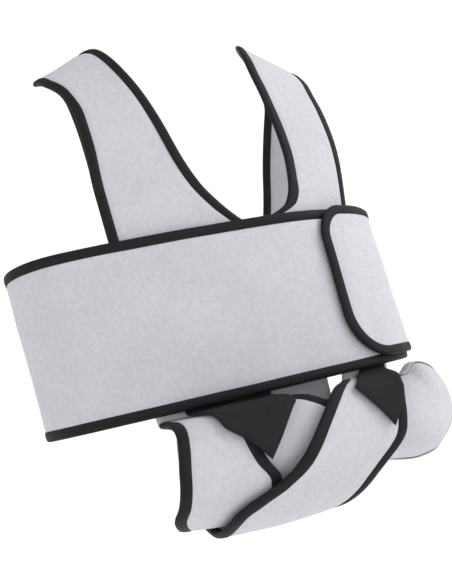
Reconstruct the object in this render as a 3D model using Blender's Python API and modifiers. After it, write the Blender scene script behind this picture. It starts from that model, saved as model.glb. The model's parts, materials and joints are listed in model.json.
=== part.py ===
"""Arm sling of the vest kind, worn over the right arm, as separate panels, bindings and hook tabs.

A wide band goes round the torso and the right upper arm and closes with a flap on the left front.
Two straps go over the shoulders. A cuff, a pouch and a wrap under the band carry the forearm.
The wearer faces -Y and their left is +X. The origin is midway between the shoulders, where the
straps rest. Metres, +Z up.
"""

import math

import bmesh
import bpy
import numpy as np

# Band round the torso and the right upper arm
BAND_HEIGHT = 0.146
BAND_TOP_Z = -0.188
TORSO_CENTRE_X = 0.044
TORSO_HALF_WIDTH = 0.136
TORSO_TAPER = 0.013
TORSO_HALF_DEPTH = 0.0955
TORSO_DEEPENING = 0.003
ARM_OFFSET_X = -0.176
ARM_OFFSET_Y = -0.005
ARM_RADIUS = 0.049
ARM_FLARE = 0.011
PLAN_BLEND = 0.0083

# Cloth and trim
PANEL_THICKNESS = 0.003
TAPE_THICKNESS = 0.0005
BINDING_WIDTH = 0.010
WEBBING_THICKNESS = 0.002
HOOK_THICKNESS = 0.0012
GAP = 0.0003
TAPE_GAP = 0.0007
SEAM_GAP = 0.00045
LAYER_CLEARANCE = 0.0020
POUCH_CLEARANCE = 0.003

# Closure of the band
FRONT_END_S = 0.150
SIDE_END_S = 0.205
FLAP_END_S = 0.029
FLAP_ROOT_S = 0.222
FLAP_TOP_RISE = 0.002
FLAP_BOTTOM_RISE = 0.006
FLAP_TOP_CORNER = 0.030
FLAP_BOTTOM_CORNER = 0.045
FLAP_PATCH_LENGTH = 0.050
FLAP_PATCH_INSET = 0.018

# Shoulder straps: the form that they lie on, and their edges by angle over the shoulder
SHOULDER_RISE = 0.2115
SHOULDER_SLOPE = 0.553
SHOULDER_NECK_X = 0.077
ARCH_EXPONENT = 2 / 1.75
CHEST_FULLNESS = 0.16
CHEST_ANGLE = 32.0
STRAP_OVERLAP = 0.022
STRAP_BACK_CLEARANCE = 0.012
STRAP_TAB_LENGTH = 0.062
RIGHT_STRAP_EDGES = [
    (0, 0.003, -0.112), (6, -0.014, -0.113), (12, -0.027, -0.114), (20, -0.037, -0.115),
    (31, -0.045, -0.114), (42, -0.053, -0.114), (54, -0.062, -0.119), (70, -0.071, -0.130),
    (88, -0.080, -0.134), (105, -0.062, -0.112), (120, -0.044, -0.096), (150, -0.024, -0.078),
    (180, -0.010, -0.068),
]
LEFT_STRAP_EDGES = [
    (0, 0.024, 0.119), (4, 0.047, 0.122), (10, 0.056, 0.125), (20, 0.061, 0.128),
    (31, 0.061, 0.130), (45, 0.062, 0.132), (60, 0.067, 0.138), (75, 0.076, 0.141),
    (90, 0.090, 0.148), (105, 0.112, 0.160), (120, 0.126, 0.166), (150, 0.122, 0.164),
    (180, 0.104, 0.147),
]

# Forearm sling: elliptical sections from the elbow to the wrist, then a rounded hand end
ELBOW_X = -0.115
WRIST_X = 0.080
ELBOW_CENTRE_Y = -0.080
WRIST_CENTRE_Y = -0.090
ELBOW_HALF_DEPTH = 0.0405
WRIST_HALF_DEPTH = 0.036
ELBOW_CENTRE_DROP = 0.044
WRIST_CENTRE_DROP = 0.049
ELBOW_HALF_HEIGHT = 0.034
WRIST_HALF_HEIGHT = 0.031
FOREARM_BULGE = 0.003
FOREARM_SAG = 0.011
HAND_START_X = 0.086
HAND_LENGTH = 0.074
HAND_CLOSING_ANGLE = 79.0
HAND_TOP_DROPS = [(0, 0.018), (29, 0.0155), (42, 0.0075), (58, 0.013), (70, 0.026), (90, 0.046)]
HAND_BOTTOM_DROPS = [(0, 0.080), (20, 0.0845), (35, 0.083), (50, 0.075), (74, 0.060), (90, 0.046)]
SEAM_END_SHARE = 0.1
POUCH_MOUTH_X = -0.030
POUCH_MOUTH_RUN = 0.045
FRONT_TANGENT_ANGLE = 55.0
REAR_TANGENT_ANGLE = 300.0
TOP_ANGLE = 355.0
RISE_PER_DEGREE = 0.001
EDGE_DROP = 0.0025
EDGE_PULL = 0.35
HANGER_INSET = 0.020
SEAM_TAPE_WIDTH = 0.012
SEAM_TAPE_ENDS = (-0.97, 0.70)
POUCH_FRONT_X = -0.068
POUCH_OPENING_END_X = 0.064
POUCH_BACK_X = -0.085
HANGER_END_X = 0.054
SEWN_RISE = 15.0

# Edges of the sling's cloth, as (angle round the forearm, x)
CUFF_OPENING_EDGE = [
    (-15, -0.104), (0, -0.102), (20, -0.101), (45, -0.104), (64, -0.1075), (88, -0.112),
    (104, -0.1135), (125, -0.1155), (140, -0.1175), (165, -0.112), (192, -0.100), (230, -0.084),
    (300, -0.078), (370, -0.078),
]
CUFF_FRONT_EDGE = [
    (-15, -0.056), (30, -0.054), (75, -0.050), (93, -0.045), (112, -0.036), (140, -0.040),
    (200, -0.050), (300, -0.055), (370, -0.055),
]
WRAP_LEADING_EDGE = [
    (-15, 0.066), (4, 0.061), (25, 0.048), (45, 0.030), (67, 0.010), (80, -0.0025), (93, -0.015),
    (107, -0.032), (116, -0.048), (125, -0.065), (137, -0.077), (160, -0.082), (235, -0.080),
]
WRAP_WRIST_EDGE = [
    (-15, 0.124), (6, 0.119), (28, 0.106), (51, 0.0925), (67, 0.085), (83, 0.080), (99, 0.075),
    (109, 0.0675), (117, 0.059), (130, 0.047), (160, 0.032), (235, 0.010),
]
POUCH_OPENING_EDGE = [
    (-0.070, 60), (-0.052, 50), (-0.034, 34), (-0.014, 22), (0.002, 23), (0.014, 32),
    (0.025, 44), (0.036, 51),
    (0.048, 50), (0.062, 40), (0.080, 24), (0.100, 7), (0.115, 0),
]
POUCH_BACK_TOP_EDGE = [(-0.090, 299), (0.058, 299), (0.070, 325), (0.080, 358), (0.130, 360)]

# Sides of the sling's tabs, from the band's edge to the tab's slanting end, as (angle, x)
ELBOW_TAB_SIDES = (
    [(-15, -0.082), (0, -0.080), (59, -0.072), (75, -0.0575), (93, -0.0435)],
    [(-15, -0.009), (0, -0.008), (29, -0.005), (51, -0.0075)],
)
WRIST_TAB_SIDES = (
    [(-15, 0.088), (0, 0.081), (14, 0.0725), (53, 0.0425)],
    [(-15, 0.118), (0, 0.114), (15, 0.110), (48, 0.091), (72, 0.0775), (90, 0.063)],
)
TAB_ANCHOR_ANGLE = 16.0
TAB_SEWN_ANGLE = -14.0

# Fineness of the meshes
BAND_STEPS = 56
BAND_END_STEPS = 3
STRAP_STEPS = 32
STRAP_COLUMNS = 5
CUFF_ROWS = [(2, 0), (3, 9), (4, 30), (14, 300), (5, 340), (4, 355), (1, 370)]
CUFF_COLUMNS = 5
WRAP_ROWS = [(2, 0), (3, 9), (4, 30), (13, 235)]
WRAP_COLUMNS = 8
TAPE_FIRST_ROW = 5
CUFF_REAR_ROWS = 5
POUCH_COLUMNS = 28
POUCH_ROWS = 10
EDGE_STEPS = 22
TAB_COLUMNS = 6
TAB_ROWS = 7

# Values that follow
BAND_BOTTOM_Z = BAND_TOP_Z - BAND_HEIGHT
BINDING_STAND = PANEL_THICKNESS / 2 + TAPE_GAP + TAPE_THICKNESS
FLAP_OFFSET = BINDING_STAND + GAP + BINDING_STAND
STRAP_INSET = -(BINDING_STAND + GAP + BINDING_STAND)
STRAP_TAB_OFFSET = BINDING_STAND + GAP + HOOK_THICKNESS + GAP + WEBBING_THICKNESS / 2
LAYER_PITCH = 2 * BINDING_STAND + LAYER_CLEARANCE
TAB_PITCH = BINDING_STAND + TAPE_GAP + HOOK_THICKNESS + GAP + WEBBING_THICKNESS / 2
TAB_TOP_INSET = -(BINDING_STAND + GAP + WEBBING_THICKNESS / 2)
CLOTH_TOP_INSET = TAB_TOP_INSET - WEBBING_THICKNESS / 2 - GAP - BINDING_STAND

GREY_CLOTH = ("grey_cloth", (0.60, 0.60, 0.64, 1.0), 0.90)
BLACK_TAPE = ("black_tape", (0.010, 0.010, 0.012, 1.0), 0.75)
DARK_HOOK = ("dark_hook", (0.024, 0.024, 0.026, 1.0), 0.85)


def blend(values, ends):
    """Smooth value between stations, by monotone cubic interpolation of (position, value) pairs."""
    positions = np.array([pair[0] for pair in ends], dtype=float)
    heights = np.array([pair[1] for pair in ends], dtype=float)
    slopes = np.diff(heights) / np.diff(positions)
    tangents = np.empty(len(positions))
    tangents[0] = slopes[0]
    tangents[-1] = slopes[-1]
    for i in range(1, len(positions) - 1):
        same_way = slopes[i - 1] * slopes[i] > 0
        mean = 2 / (1 / slopes[i - 1] + 1 / slopes[i]) if same_way else 0.0
        tangents[i] = mean
    i = int(np.clip(np.searchsorted(positions, values) - 1, 0, len(positions) - 2))
    length = positions[i + 1] - positions[i]
    t = (np.clip(values, positions[0], positions[-1]) - positions[i]) / length
    first = heights[i] * (1 + 2 * t) * (1 - t) ** 2 + heights[i + 1] * t * t * (3 - 2 * t)
    second = tangents[i] * t * (1 - t) ** 2 - tangents[i + 1] * t * t * (1 - t)
    return float(first + second * length)


def smooth_step(t):
    t = min(1.0, max(0.0, t))
    return t * t * (3 - 2 * t)


def mix(a, b, t):
    return a + (b - a) * t


def unit(vector):
    return vector / np.linalg.norm(vector)


# ---- Band plan: a rounded hull of the torso's ellipse and the arm's circle


def plan_point(angle, z, offset):
    """Point of the band at height z whose outward direction has this angle, moved out by offset."""
    share = (z - BAND_BOTTOM_Z) / BAND_HEIGHT
    width = TORSO_HALF_WIDTH - TORSO_TAPER * share
    depth = TORSO_HALF_DEPTH + TORSO_DEEPENING * share
    radius = ARM_RADIUS + ARM_FLARE * share
    cos = math.cos(angle)
    sin = math.sin(angle)
    torso = math.hypot(width * cos, depth * sin)
    torso_slope = (depth ** 2 - width ** 2) * cos * sin / torso
    arm = ARM_OFFSET_X * cos + ARM_OFFSET_Y * sin + radius
    arm_slope = ARM_OFFSET_Y * cos - ARM_OFFSET_X * sin
    torso_weight = 1 / (1 + math.exp((arm - torso) / PLAN_BLEND))
    arm_weight = 1 - torso_weight
    reach = max(torso, arm) + PLAN_BLEND * math.log1p(math.exp(-abs(arm - torso) / PLAN_BLEND))
    slope = torso_weight * torso_slope + arm_weight * arm_slope
    reach += offset
    x = TORSO_CENTRE_X + reach * cos - slope * sin
    y = reach * sin + slope * cos
    return np.array([x, y, z])


def plan_table():
    """Arc length round the band's middle, from the centre front, against the outward angle."""
    middle = (BAND_TOP_Z + BAND_BOTTOM_Z) / 2
    angles = np.linspace(-math.pi / 2 - math.pi, -math.pi / 2 + math.pi, 1441)
    points = np.array([plan_point(angle, middle, 0.0) for angle in angles])
    steps = np.linalg.norm(np.diff(points, axis=0), axis=1)
    lengths = np.concatenate([[0.0], np.cumsum(steps)])
    return angles, lengths - np.interp(-math.pi / 2, angles, lengths), lengths[-1]


PLAN_ANGLES, PLAN_LENGTHS, GIRTH = plan_table()


def band_surface(s, z, offset=0.0):
    if s < PLAN_LENGTHS[0]:
        angle = float(np.interp(s + GIRTH, PLAN_LENGTHS, PLAN_ANGLES)) - 2 * math.pi
    else:
        angle = float(np.interp(s, PLAN_LENGTHS, PLAN_ANGLES))
    return plan_point(angle, z, offset)


def plan_depth(x, z, offset, front):
    """How far the band's front or back lies from y = 0 at this x."""
    low, high = (-math.pi, 0.0) if front else (0.0, math.pi)
    for _ in range(34):
        middle = (low + high) / 2
        ahead = plan_point(middle, z, offset)[0] < x
        if ahead == front:
            low = middle
        else:
            high = middle
    return abs(plan_point((low + high) / 2, z, offset)[1])


# ---- Sheets and bindings


def partials(surface, u, v):
    step = 1e-4
    along_u = (surface(u + step, v) - surface(u - step, v)) / (2 * step)
    along_v = (surface(u, v + step) - surface(u, v - step)) / (2 * step)
    return along_u, along_v


def raised(surface, facing=1):
    """The surface with a third argument, an offset along its normal on the facing side."""
    def moved(u, v, offset=0.0):
        point = surface(u, v)
        if offset == 0.0:
            return point
        along_u, along_v = partials(surface, u, v)
        return point + unit(np.cross(along_u, along_v)) * facing * offset
    return moved


def make_material(finish):
    name, colour, roughness = finish
    material = bpy.data.materials.get(name)
    if material is None:
        material = bpy.data.materials.new(name)
        material.use_nodes = True
        shader = material.node_tree.nodes["Principled BSDF"]
        shader.inputs["Base Color"].default_value = colour
        shader.inputs["Roughness"].default_value = roughness
        shader.inputs["Metallic"].default_value = 0.0
        material.diffuse_color = colour
    return material


def cloth(name, place, steps_a, steps_b, thickness, finish, collection, crossed=()):
    """A sheet: a grid from (0, 0) to (1, 1) put in place by a function, then given its thickness.

    Its squares are split along the diagonal from (0, 0), or along the other one in crossed strips,
    so that a sheet and the tape over its edge bend along the same lines.
    """
    mesh_maker = bmesh.new()
    bmesh.ops.create_grid(mesh_maker, x_segments=steps_a, y_segments=steps_b, size=0.5)
    for face in list(mesh_maker.faces):
        strip = int((face.calc_center_median().y + 0.5) * steps_b)
        lean = -1 if strip in crossed else 1
        ends = sorted(face.verts, key=lambda vertex: vertex.co.x + lean * vertex.co.y)
        bmesh.utils.face_split(face, ends[0], ends[-1])
    for vertex in mesh_maker.verts:
        vertex.co = place(vertex.co.x + 0.5, vertex.co.y + 0.5)
    mesh = bpy.data.meshes.new(name)
    mesh_maker.to_mesh(mesh)
    mesh_maker.free()
    mesh.shade_smooth()
    mesh.materials.append(make_material(finish))
    sheet = bpy.data.objects.new(name, mesh)
    collection.objects.link(sheet)
    solidify = sheet.modifiers.new("thickness", "SOLIDIFY")
    solidify.thickness = thickness
    solidify.offset = 0.0
    solidify.use_even_offset = True
    return sheet


def side_of(corner, side):
    """The sheet's pattern seen from one side: a place along it, and a share of the way inward."""
    views = {
        "start": lambda along, inward: corner(inward, along),
        "end": lambda along, inward: corner(1 - inward, along),
        "low": lambda along, inward: corner(along, inward),
        "high": lambda along, inward: corner(along, 1 - inward),
    }
    return views[side]


def tape_share(surface, seen, along):
    """Share of the way across the sheet that BINDING_WIDTH covers, measured square to the side."""
    span = 0.03
    step = 0.004
    ahead = unit(surface(*seen(along + span, 0)) - surface(*seen(along - span, 0)))
    across = (surface(*seen(along, step)) - surface(*seen(along, 0))) / step
    return BINDING_WIDTH / np.linalg.norm(np.cross(ahead, across))


def bound_columns(surface, corner, steps):
    """The same sheet with a column of its grid along the inner edge of each side's tape."""
    start = side_of(corner, "start")
    end = side_of(corner, "end")

    def placed(a, b):
        column = round(a * steps)
        if column == 0 or column == steps:
            return corner(a, b)
        near = tape_share(surface, start, b)
        far = 1 - tape_share(surface, end, b)
        return corner(mix(near, far, (column - 1) / (steps - 2)), b)

    return placed


def binding(name, surface, corner, side, taped, steps, collection):
    """Tape folded over one side of a sheet: two legs and the fold, a gap away from the cloth.

    The tape runs between the two taped steps of the sheet's grid along that side.
    """
    seen = side_of(corner, side)
    crossed_leg = 0 if side in ("start", "low") else 2
    stand = BINDING_STAND - TAPE_THICKNESS / 2
    fold = -(TAPE_GAP + TAPE_THICKNESS / 2) / BINDING_WIDTH
    profile = [(1, stand), (fold, stand), (fold, -stand), (1, -stand)]

    def place(a, b):
        along = mix(*taped, a) / steps
        inward, offset = profile[round(b * 3)]
        return surface(*seen(along, inward * tape_share(surface, seen, along)), offset)

    return cloth(name, place, round(taped[1] - taped[0]), 3, TAPE_THICKNESS, BLACK_TAPE, collection,
                 [crossed_leg])


def outline_binding(name, surface, outline, steps, collection):
    """Tape folded over an outline that turns corners, with its legs square to the outline."""
    stand = BINDING_STAND - TAPE_THICKNESS / 2
    fold = TAPE_GAP + TAPE_THICKNESS / 2
    profile = [(BINDING_WIDTH, stand), (-fold, stand), (-fold, -stand), (BINDING_WIDTH, -stand)]

    def place(a, b):
        u, v = outline(a)
        before = np.array(outline(a - 0.002))
        after = np.array(outline(a + 0.002))
        ahead = unit(after - before)
        distance, offset = profile[round(b * 3)]
        return surface(u - ahead[1] * distance, v + ahead[0] * distance, offset)

    return cloth(name, place, steps, 3, TAPE_THICKNESS, BLACK_TAPE, collection)


def panel(name, surface, corner, steps_a, steps_b, collection, thickness=PANEL_THICKNESS,
          finish=GREY_CLOTH, offset=0.0):
    """A panel of cloth: corner(a, b) gives the pattern point of each part of the sheet."""
    def place(a, b):
        return surface(*corner(a, b), offset)
    return cloth(name, place, steps_a, steps_b, thickness, finish, collection)


# ---- Band and closure flap


def make_band(collection):
    start = SIDE_END_S - GIRTH
    length = FRONT_END_S - start
    margin = BINDING_WIDTH / length

    def corner(a, b):
        return start + length * a, mix(BAND_BOTTOM_Z, BAND_TOP_Z, b)

    def spacing(t):
        """Even steps, but for one tape's width at each end of the band."""
        column = round(t * BAND_STEPS)
        if column == 0 or column == BAND_STEPS:
            return t
        return mix(margin, 1 - margin, (column - 1) / (BAND_STEPS - 2))

    def spaced(a, b):
        return corner(spacing(a), b)

    whole = [0, BAND_STEPS]
    panel("chest_band_panel", band_surface, spaced, BAND_STEPS, 2, collection)
    binding("chest_band_top_binding", band_surface, spaced, "high", whole, BAND_STEPS, collection)
    binding("chest_band_bottom_binding", band_surface, spaced, "low", whole, BAND_STEPS, collection)
    clear = BAND_END_STEPS * (BINDING_WIDTH + TAPE_THICKNESS + GAP) / BAND_HEIGHT
    between = [clear, BAND_END_STEPS - clear]
    for name, side in (("front", "end"), ("side", "start")):
        binding(f"chest_band_{name}_end_binding", band_surface, corner, side, between,
                BAND_END_STEPS, collection)


def flap_end(z):
    """Where the flap's free end lies at height z, with its two rounded corners."""
    top = BAND_TOP_Z + FLAP_TOP_RISE
    bottom = BAND_BOTTOM_Z + FLAP_BOTTOM_RISE
    into_top = max(0.0, z - (top - FLAP_TOP_CORNER)) / FLAP_TOP_CORNER
    into_bottom = max(0.0, bottom + FLAP_BOTTOM_CORNER - z) / FLAP_BOTTOM_CORNER
    upper = FLAP_TOP_CORNER * (1 - math.sqrt(max(0.0, 1 - into_top ** 2)))
    lower = FLAP_BOTTOM_CORNER * (1 - math.sqrt(max(0.0, 1 - into_bottom ** 2)))
    return FLAP_END_S + upper + lower


def flap_outline(t):
    """The flap's edge from the root along the top, round the free end and back along the bottom."""
    top = BAND_TOP_Z + FLAP_TOP_RISE
    bottom = BAND_BOTTOM_Z + FLAP_BOTTOM_RISE
    upper_run = FLAP_ROOT_S - FLAP_END_S - FLAP_TOP_CORNER
    upper_arc = FLAP_TOP_CORNER * math.pi / 2
    straight = top - bottom - FLAP_TOP_CORNER - FLAP_BOTTOM_CORNER
    lower_arc = FLAP_BOTTOM_CORNER * math.pi / 2
    lower_run = FLAP_ROOT_S - FLAP_END_S - FLAP_BOTTOM_CORNER
    distance = t * (upper_run + upper_arc + straight + lower_arc + lower_run)
    if distance < upper_run:
        return FLAP_ROOT_S - distance, top
    distance -= upper_run
    if distance < upper_arc:
        turn = distance / FLAP_TOP_CORNER
        s = FLAP_END_S + FLAP_TOP_CORNER * (1 - math.sin(turn))
        return s, top - FLAP_TOP_CORNER * (1 - math.cos(turn))
    distance -= upper_arc
    if distance < straight:
        return FLAP_END_S, top - FLAP_TOP_CORNER - distance
    distance -= straight
    if distance < lower_arc:
        turn = distance / FLAP_BOTTOM_CORNER
        s = FLAP_END_S + FLAP_BOTTOM_CORNER * (1 - math.cos(turn))
        return s, bottom + FLAP_BOTTOM_CORNER * (1 - math.sin(turn))
    distance -= lower_arc
    return FLAP_END_S + FLAP_BOTTOM_CORNER + distance, bottom


def make_flap(collection):
    top = BAND_TOP_Z + FLAP_TOP_RISE
    bottom = BAND_BOTTOM_Z + FLAP_BOTTOM_RISE

    def surface(s, z, offset=0.0):
        return band_surface(s, z, FLAP_OFFSET + offset)

    def corner(a, b):
        z = mix(bottom, top, (1 - math.cos(math.pi * b)) / 2)
        return mix(flap_end(z), FLAP_ROOT_S, a), z

    flap = panel("closure_flap_panel", surface, corner, 22, 10, collection)
    edge = outline_binding("closure_flap_binding", surface, flap_outline, 56, collection)
    patch_offset = -(PANEL_THICKNESS / 2 + GAP + HOOK_THICKNESS / 2)

    def patch_corner(a, b):
        s = FLAP_END_S + FLAP_PATCH_INSET + FLAP_PATCH_LENGTH * a
        low = bottom + FLAP_BOTTOM_CORNER * 0.6
        return s, mix(low, top - FLAP_TOP_CORNER * 0.8, b)

    patch = panel("closure_flap_hook_patch", surface, patch_corner, 4, 1, collection,
                  HOOK_THICKNESS, DARK_HOOK, patch_offset)
    root_low = surface(FLAP_ROOT_S, bottom, BINDING_STAND)
    hang_on_pivot("closure_flap_pivot", root_low, [flap, edge, patch], collection)


# ---- Shoulder straps


def shoulder_surface(x, angle):
    """The form under a strap: an arch from the band's front top (0) to its back top (180)."""
    turn = math.radians(angle)
    cos = math.cos(turn)
    sin = max(0.0, math.sin(turn))
    fullness = CHEST_FULLNESS * smooth_step((min(angle, 180 - angle) - 2) / CHEST_ANGLE)
    front = cos >= 0
    offset = STRAP_INSET if front else STRAP_TAB_OFFSET
    depth = plan_depth(x * (1 - fullness), BAND_TOP_Z, offset, front)
    rise = SHOULDER_RISE - SHOULDER_SLOPE * (abs(x) - SHOULDER_NECK_X)
    y = -math.copysign(abs(cos) ** ARCH_EXPONENT, cos) * depth
    return np.array([x, y, BAND_TOP_Z + rise * sin ** ARCH_EXPONENT])


def strap_surface(x, angle):
    """The shoulder form, and below it the inside of the band's front."""
    if angle >= 0:
        return shoulder_surface(x, angle)
    z = BAND_TOP_Z + angle * RISE_PER_DEGREE
    return np.array([x, -plan_depth(x, z, STRAP_INSET, True), z])


def back_surface(x, z):
    """The outside of the band's back, carried on above its top, where the strap tabs lie."""
    return np.array([x, plan_depth(x, z, STRAP_TAB_OFFSET, False), z])


def strap_end_angle(edges):
    middle = (edges[-1][1] + edges[-1][2]) / 2
    rise = SHOULDER_RISE - SHOULDER_SLOPE * (abs(middle) - SHOULDER_NECK_X)
    return 180 - math.degrees(math.asin((STRAP_BACK_CLEARANCE / rise) ** (1 / ARCH_EXPONENT)))


def make_strap(side, edges, collection):
    inner = [(angle, neck) for angle, neck, arm in edges]
    outer = [(angle, arm) for angle, neck, arm in edges]
    first = -STRAP_OVERLAP / RISE_PER_DEGREE
    last = strap_end_angle(edges)
    surface = raised(strap_surface, -1)

    def angle_at(b):
        """Angles spread so that the rows lie evenly along the strap."""
        spread = b + 0.055 * math.sin(2 * math.pi * b)
        return mix(first, last, spread)

    def corner(a, b):
        angle = angle_at(b)
        return mix(blend(angle, inner), blend(angle, outer), a), angle

    panel(f"{side}_strap_panel", surface, bound_columns(surface, corner, STRAP_COLUMNS),
          STRAP_COLUMNS, STRAP_STEPS, collection)
    binding(f"{side}_strap_neck_binding", surface, corner, "start", [0, STRAP_STEPS], STRAP_STEPS,
            collection)
    binding(f"{side}_strap_arm_binding", surface, corner, "end", [0, STRAP_STEPS], STRAP_STEPS,
            collection)
    make_strap_tab(side, blend(last, inner), blend(last, outer), collection)


def make_strap_tab(side, inner_x, outer_x, collection):
    surface = raised(back_surface, -1)
    top = BAND_TOP_Z + STRAP_BACK_CLEARANCE - TAPE_GAP - GAP
    bottom = top - STRAP_TAB_LENGTH
    trim = math.copysign(0.004, outer_x - inner_x)

    def corner(a, b):
        return mix(inner_x + trim, outer_x - trim, a), mix(bottom, top, b)

    def patch_corner(a, b):
        low = bottom + 0.004
        high = BAND_TOP_Z - BINDING_WIDTH - 0.002
        return mix(inner_x + 2 * trim, outer_x - 2 * trim, a), mix(low, high, b)

    tab = panel(f"{side}_strap_back_tab", surface, corner, 6, 5, collection, WEBBING_THICKNESS,
                DARK_HOOK)
    patch_offset = -(WEBBING_THICKNESS / 2 + GAP + HOOK_THICKNESS / 2)
    patch = panel(f"{side}_strap_hook_patch", surface, patch_corner, 6, 2, collection,
                  HOOK_THICKNESS, DARK_HOOK, patch_offset)
    middle = surface(*corner(0.5, 1), WEBBING_THICKNESS / 2)
    hang_on_pivot(f"{side}_strap_tab_pivot", middle, [tab, patch], collection)


# ---- Forearm sling


def forearm_size(x):
    """Centre y, centre z, half depth and half height of the sling's section at x."""
    t = (x - ELBOW_X) / (WRIST_X - ELBOW_X)
    middle = 4 * t * (1 - t) if 0 < t < 1 else 0.0
    clamped = min(1.2, max(-0.2, t))
    centre_y = mix(ELBOW_CENTRE_Y, WRIST_CENTRE_Y, clamped)
    centre_z = BAND_BOTTOM_Z - mix(ELBOW_CENTRE_DROP, WRIST_CENTRE_DROP, clamped)
    half_depth = mix(ELBOW_HALF_DEPTH, WRIST_HALF_DEPTH, clamped) + FOREARM_BULGE * middle
    half_height = mix(ELBOW_HALF_HEIGHT, WRIST_HALF_HEIGHT, clamped) + FOREARM_SAG * middle
    return centre_y, centre_z, half_depth, half_height


def ellipse_point(x, angle, offset):
    centre_y, centre_z, half_depth, half_height = forearm_size(x)
    turn = math.radians(angle)
    y = centre_y - (half_depth + offset) * math.sin(turn)
    return np.array([x, y, centre_z + (half_height + offset) * math.cos(turn)])


def ellipse_heading(x, angle):
    return unit(ellipse_point(x, angle + 1, 0.0) - ellipse_point(x, angle - 1, 0.0))


def hermite(start, start_pull, end, end_pull, t):
    keep = (1 + 2 * t) * (1 - t) ** 2
    lead = t * (1 - t) ** 2
    trail = t * t * (1 - t)
    return start * keep + end * (1 - keep) + start_pull * lead - end_pull * trail


def sling_layer(layer_offset, front_inset):
    """A sheet round the forearm: angle 0 is under the band's front, 90 the front, 180 the bottom.

    Below 0 the sheet goes up inside the band's front, and past 355 it does so behind the forearm.
    """
    rear_inset = -(HANGER_INSET + layer_offset)
    edge_z = BAND_BOTTOM_Z - EDGE_DROP - (TAB_TOP_INSET - front_inset)
    rear_edge_z = BAND_BOTTOM_Z - EDGE_DROP - (2 * LAYER_PITCH - layer_offset)
    down = np.array([0.0, 0.0, -1.0])

    def surface(x, angle):
        if angle <= 0:
            z = edge_z - angle * RISE_PER_DEGREE
            return np.array([x, -plan_depth(x, z, front_inset, True), z])
        if angle < FRONT_TANGENT_ANGLE:
            top = np.array([x, -plan_depth(x, edge_z, front_inset, True), edge_z])
            tangent = ellipse_point(x, FRONT_TANGENT_ANGLE, layer_offset)
            reach = np.linalg.norm(tangent - top)
            heading = ellipse_heading(x, FRONT_TANGENT_ANGLE) * reach
            t = angle / FRONT_TANGENT_ANGLE
            return hermite(top, down * reach * EDGE_PULL, tangent, heading, t)
        if angle <= REAR_TANGENT_ANGLE:
            return ellipse_point(x, angle, layer_offset)
        if angle < TOP_ANGLE:
            top = np.array([x, -plan_depth(x, rear_edge_z, rear_inset, True), rear_edge_z])
            tangent = ellipse_point(x, REAR_TANGENT_ANGLE, layer_offset)
            reach = np.linalg.norm(tangent - top)
            heading = ellipse_heading(x, REAR_TANGENT_ANGLE) * reach
            t = (angle - REAR_TANGENT_ANGLE) / (TOP_ANGLE - REAR_TANGENT_ANGLE)
            return hermite(tangent, heading, top, -down * reach * EDGE_PULL, t)
        z = rear_edge_z + (angle - TOP_ANGLE) * RISE_PER_DEGREE
        return np.array([x, -plan_depth(x, z, rear_inset, True), z])

    return raised(surface, -1)


FRONT_LAYER = sling_layer(0.0, CLOTH_TOP_INSET - LAYER_PITCH - POUCH_CLEARANCE)


def pouch_point(u, angle):
    """The pouch's surface: the forearm's section, then shrinking sections round the hand.

    Up to HAND_START_X, u is x. Beyond it, u runs on as the angle of the rounded end.
    """
    if u <= HAND_START_X:
        on_forearm = ellipse_point(u, angle, 0.0)
        if angle >= FRONT_TANGENT_ANGLE or u >= HAND_START_X:
            return on_forearm
        under_cuff = FRONT_LAYER(u, angle)
        return mix(under_cuff, on_forearm, smooth_step((u - POUCH_MOUTH_X) / POUCH_MOUTH_RUN))
    turn = (u - HAND_START_X) / HAND_LENGTH
    top, bottom = hand_outline(turn)
    centre_y, centre_z, half_depth, half_height = forearm_size(HAND_START_X)
    around = math.radians(angle)
    x = HAND_START_X + HAND_LENGTH * math.sin(turn)
    y = centre_y - half_depth * math.cos(turn) * math.sin(around)
    return np.array([x, y, (top + bottom) / 2 + (top - bottom) / 2 * math.cos(around)])


def hand_outline(turn):
    """Top and bottom of the hand end's seam, at an angle round its blunt end."""
    angle = math.degrees(turn)
    return BAND_BOTTOM_Z - blend(angle, HAND_TOP_DROPS), BAND_BOTTOM_Z - blend(angle, HAND_BOTTOM_DROPS)


def seam_angle(u):
    """Angle from the seam that keeps the edge of a sheet clear of the seam's plane."""
    turn = max(0.0, (u - HAND_START_X) / HAND_LENGTH)
    half_depth = forearm_size(min(u, HAND_START_X))[2] * math.cos(turn)
    return math.degrees(math.asin(SEAM_GAP / half_depth))


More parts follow.
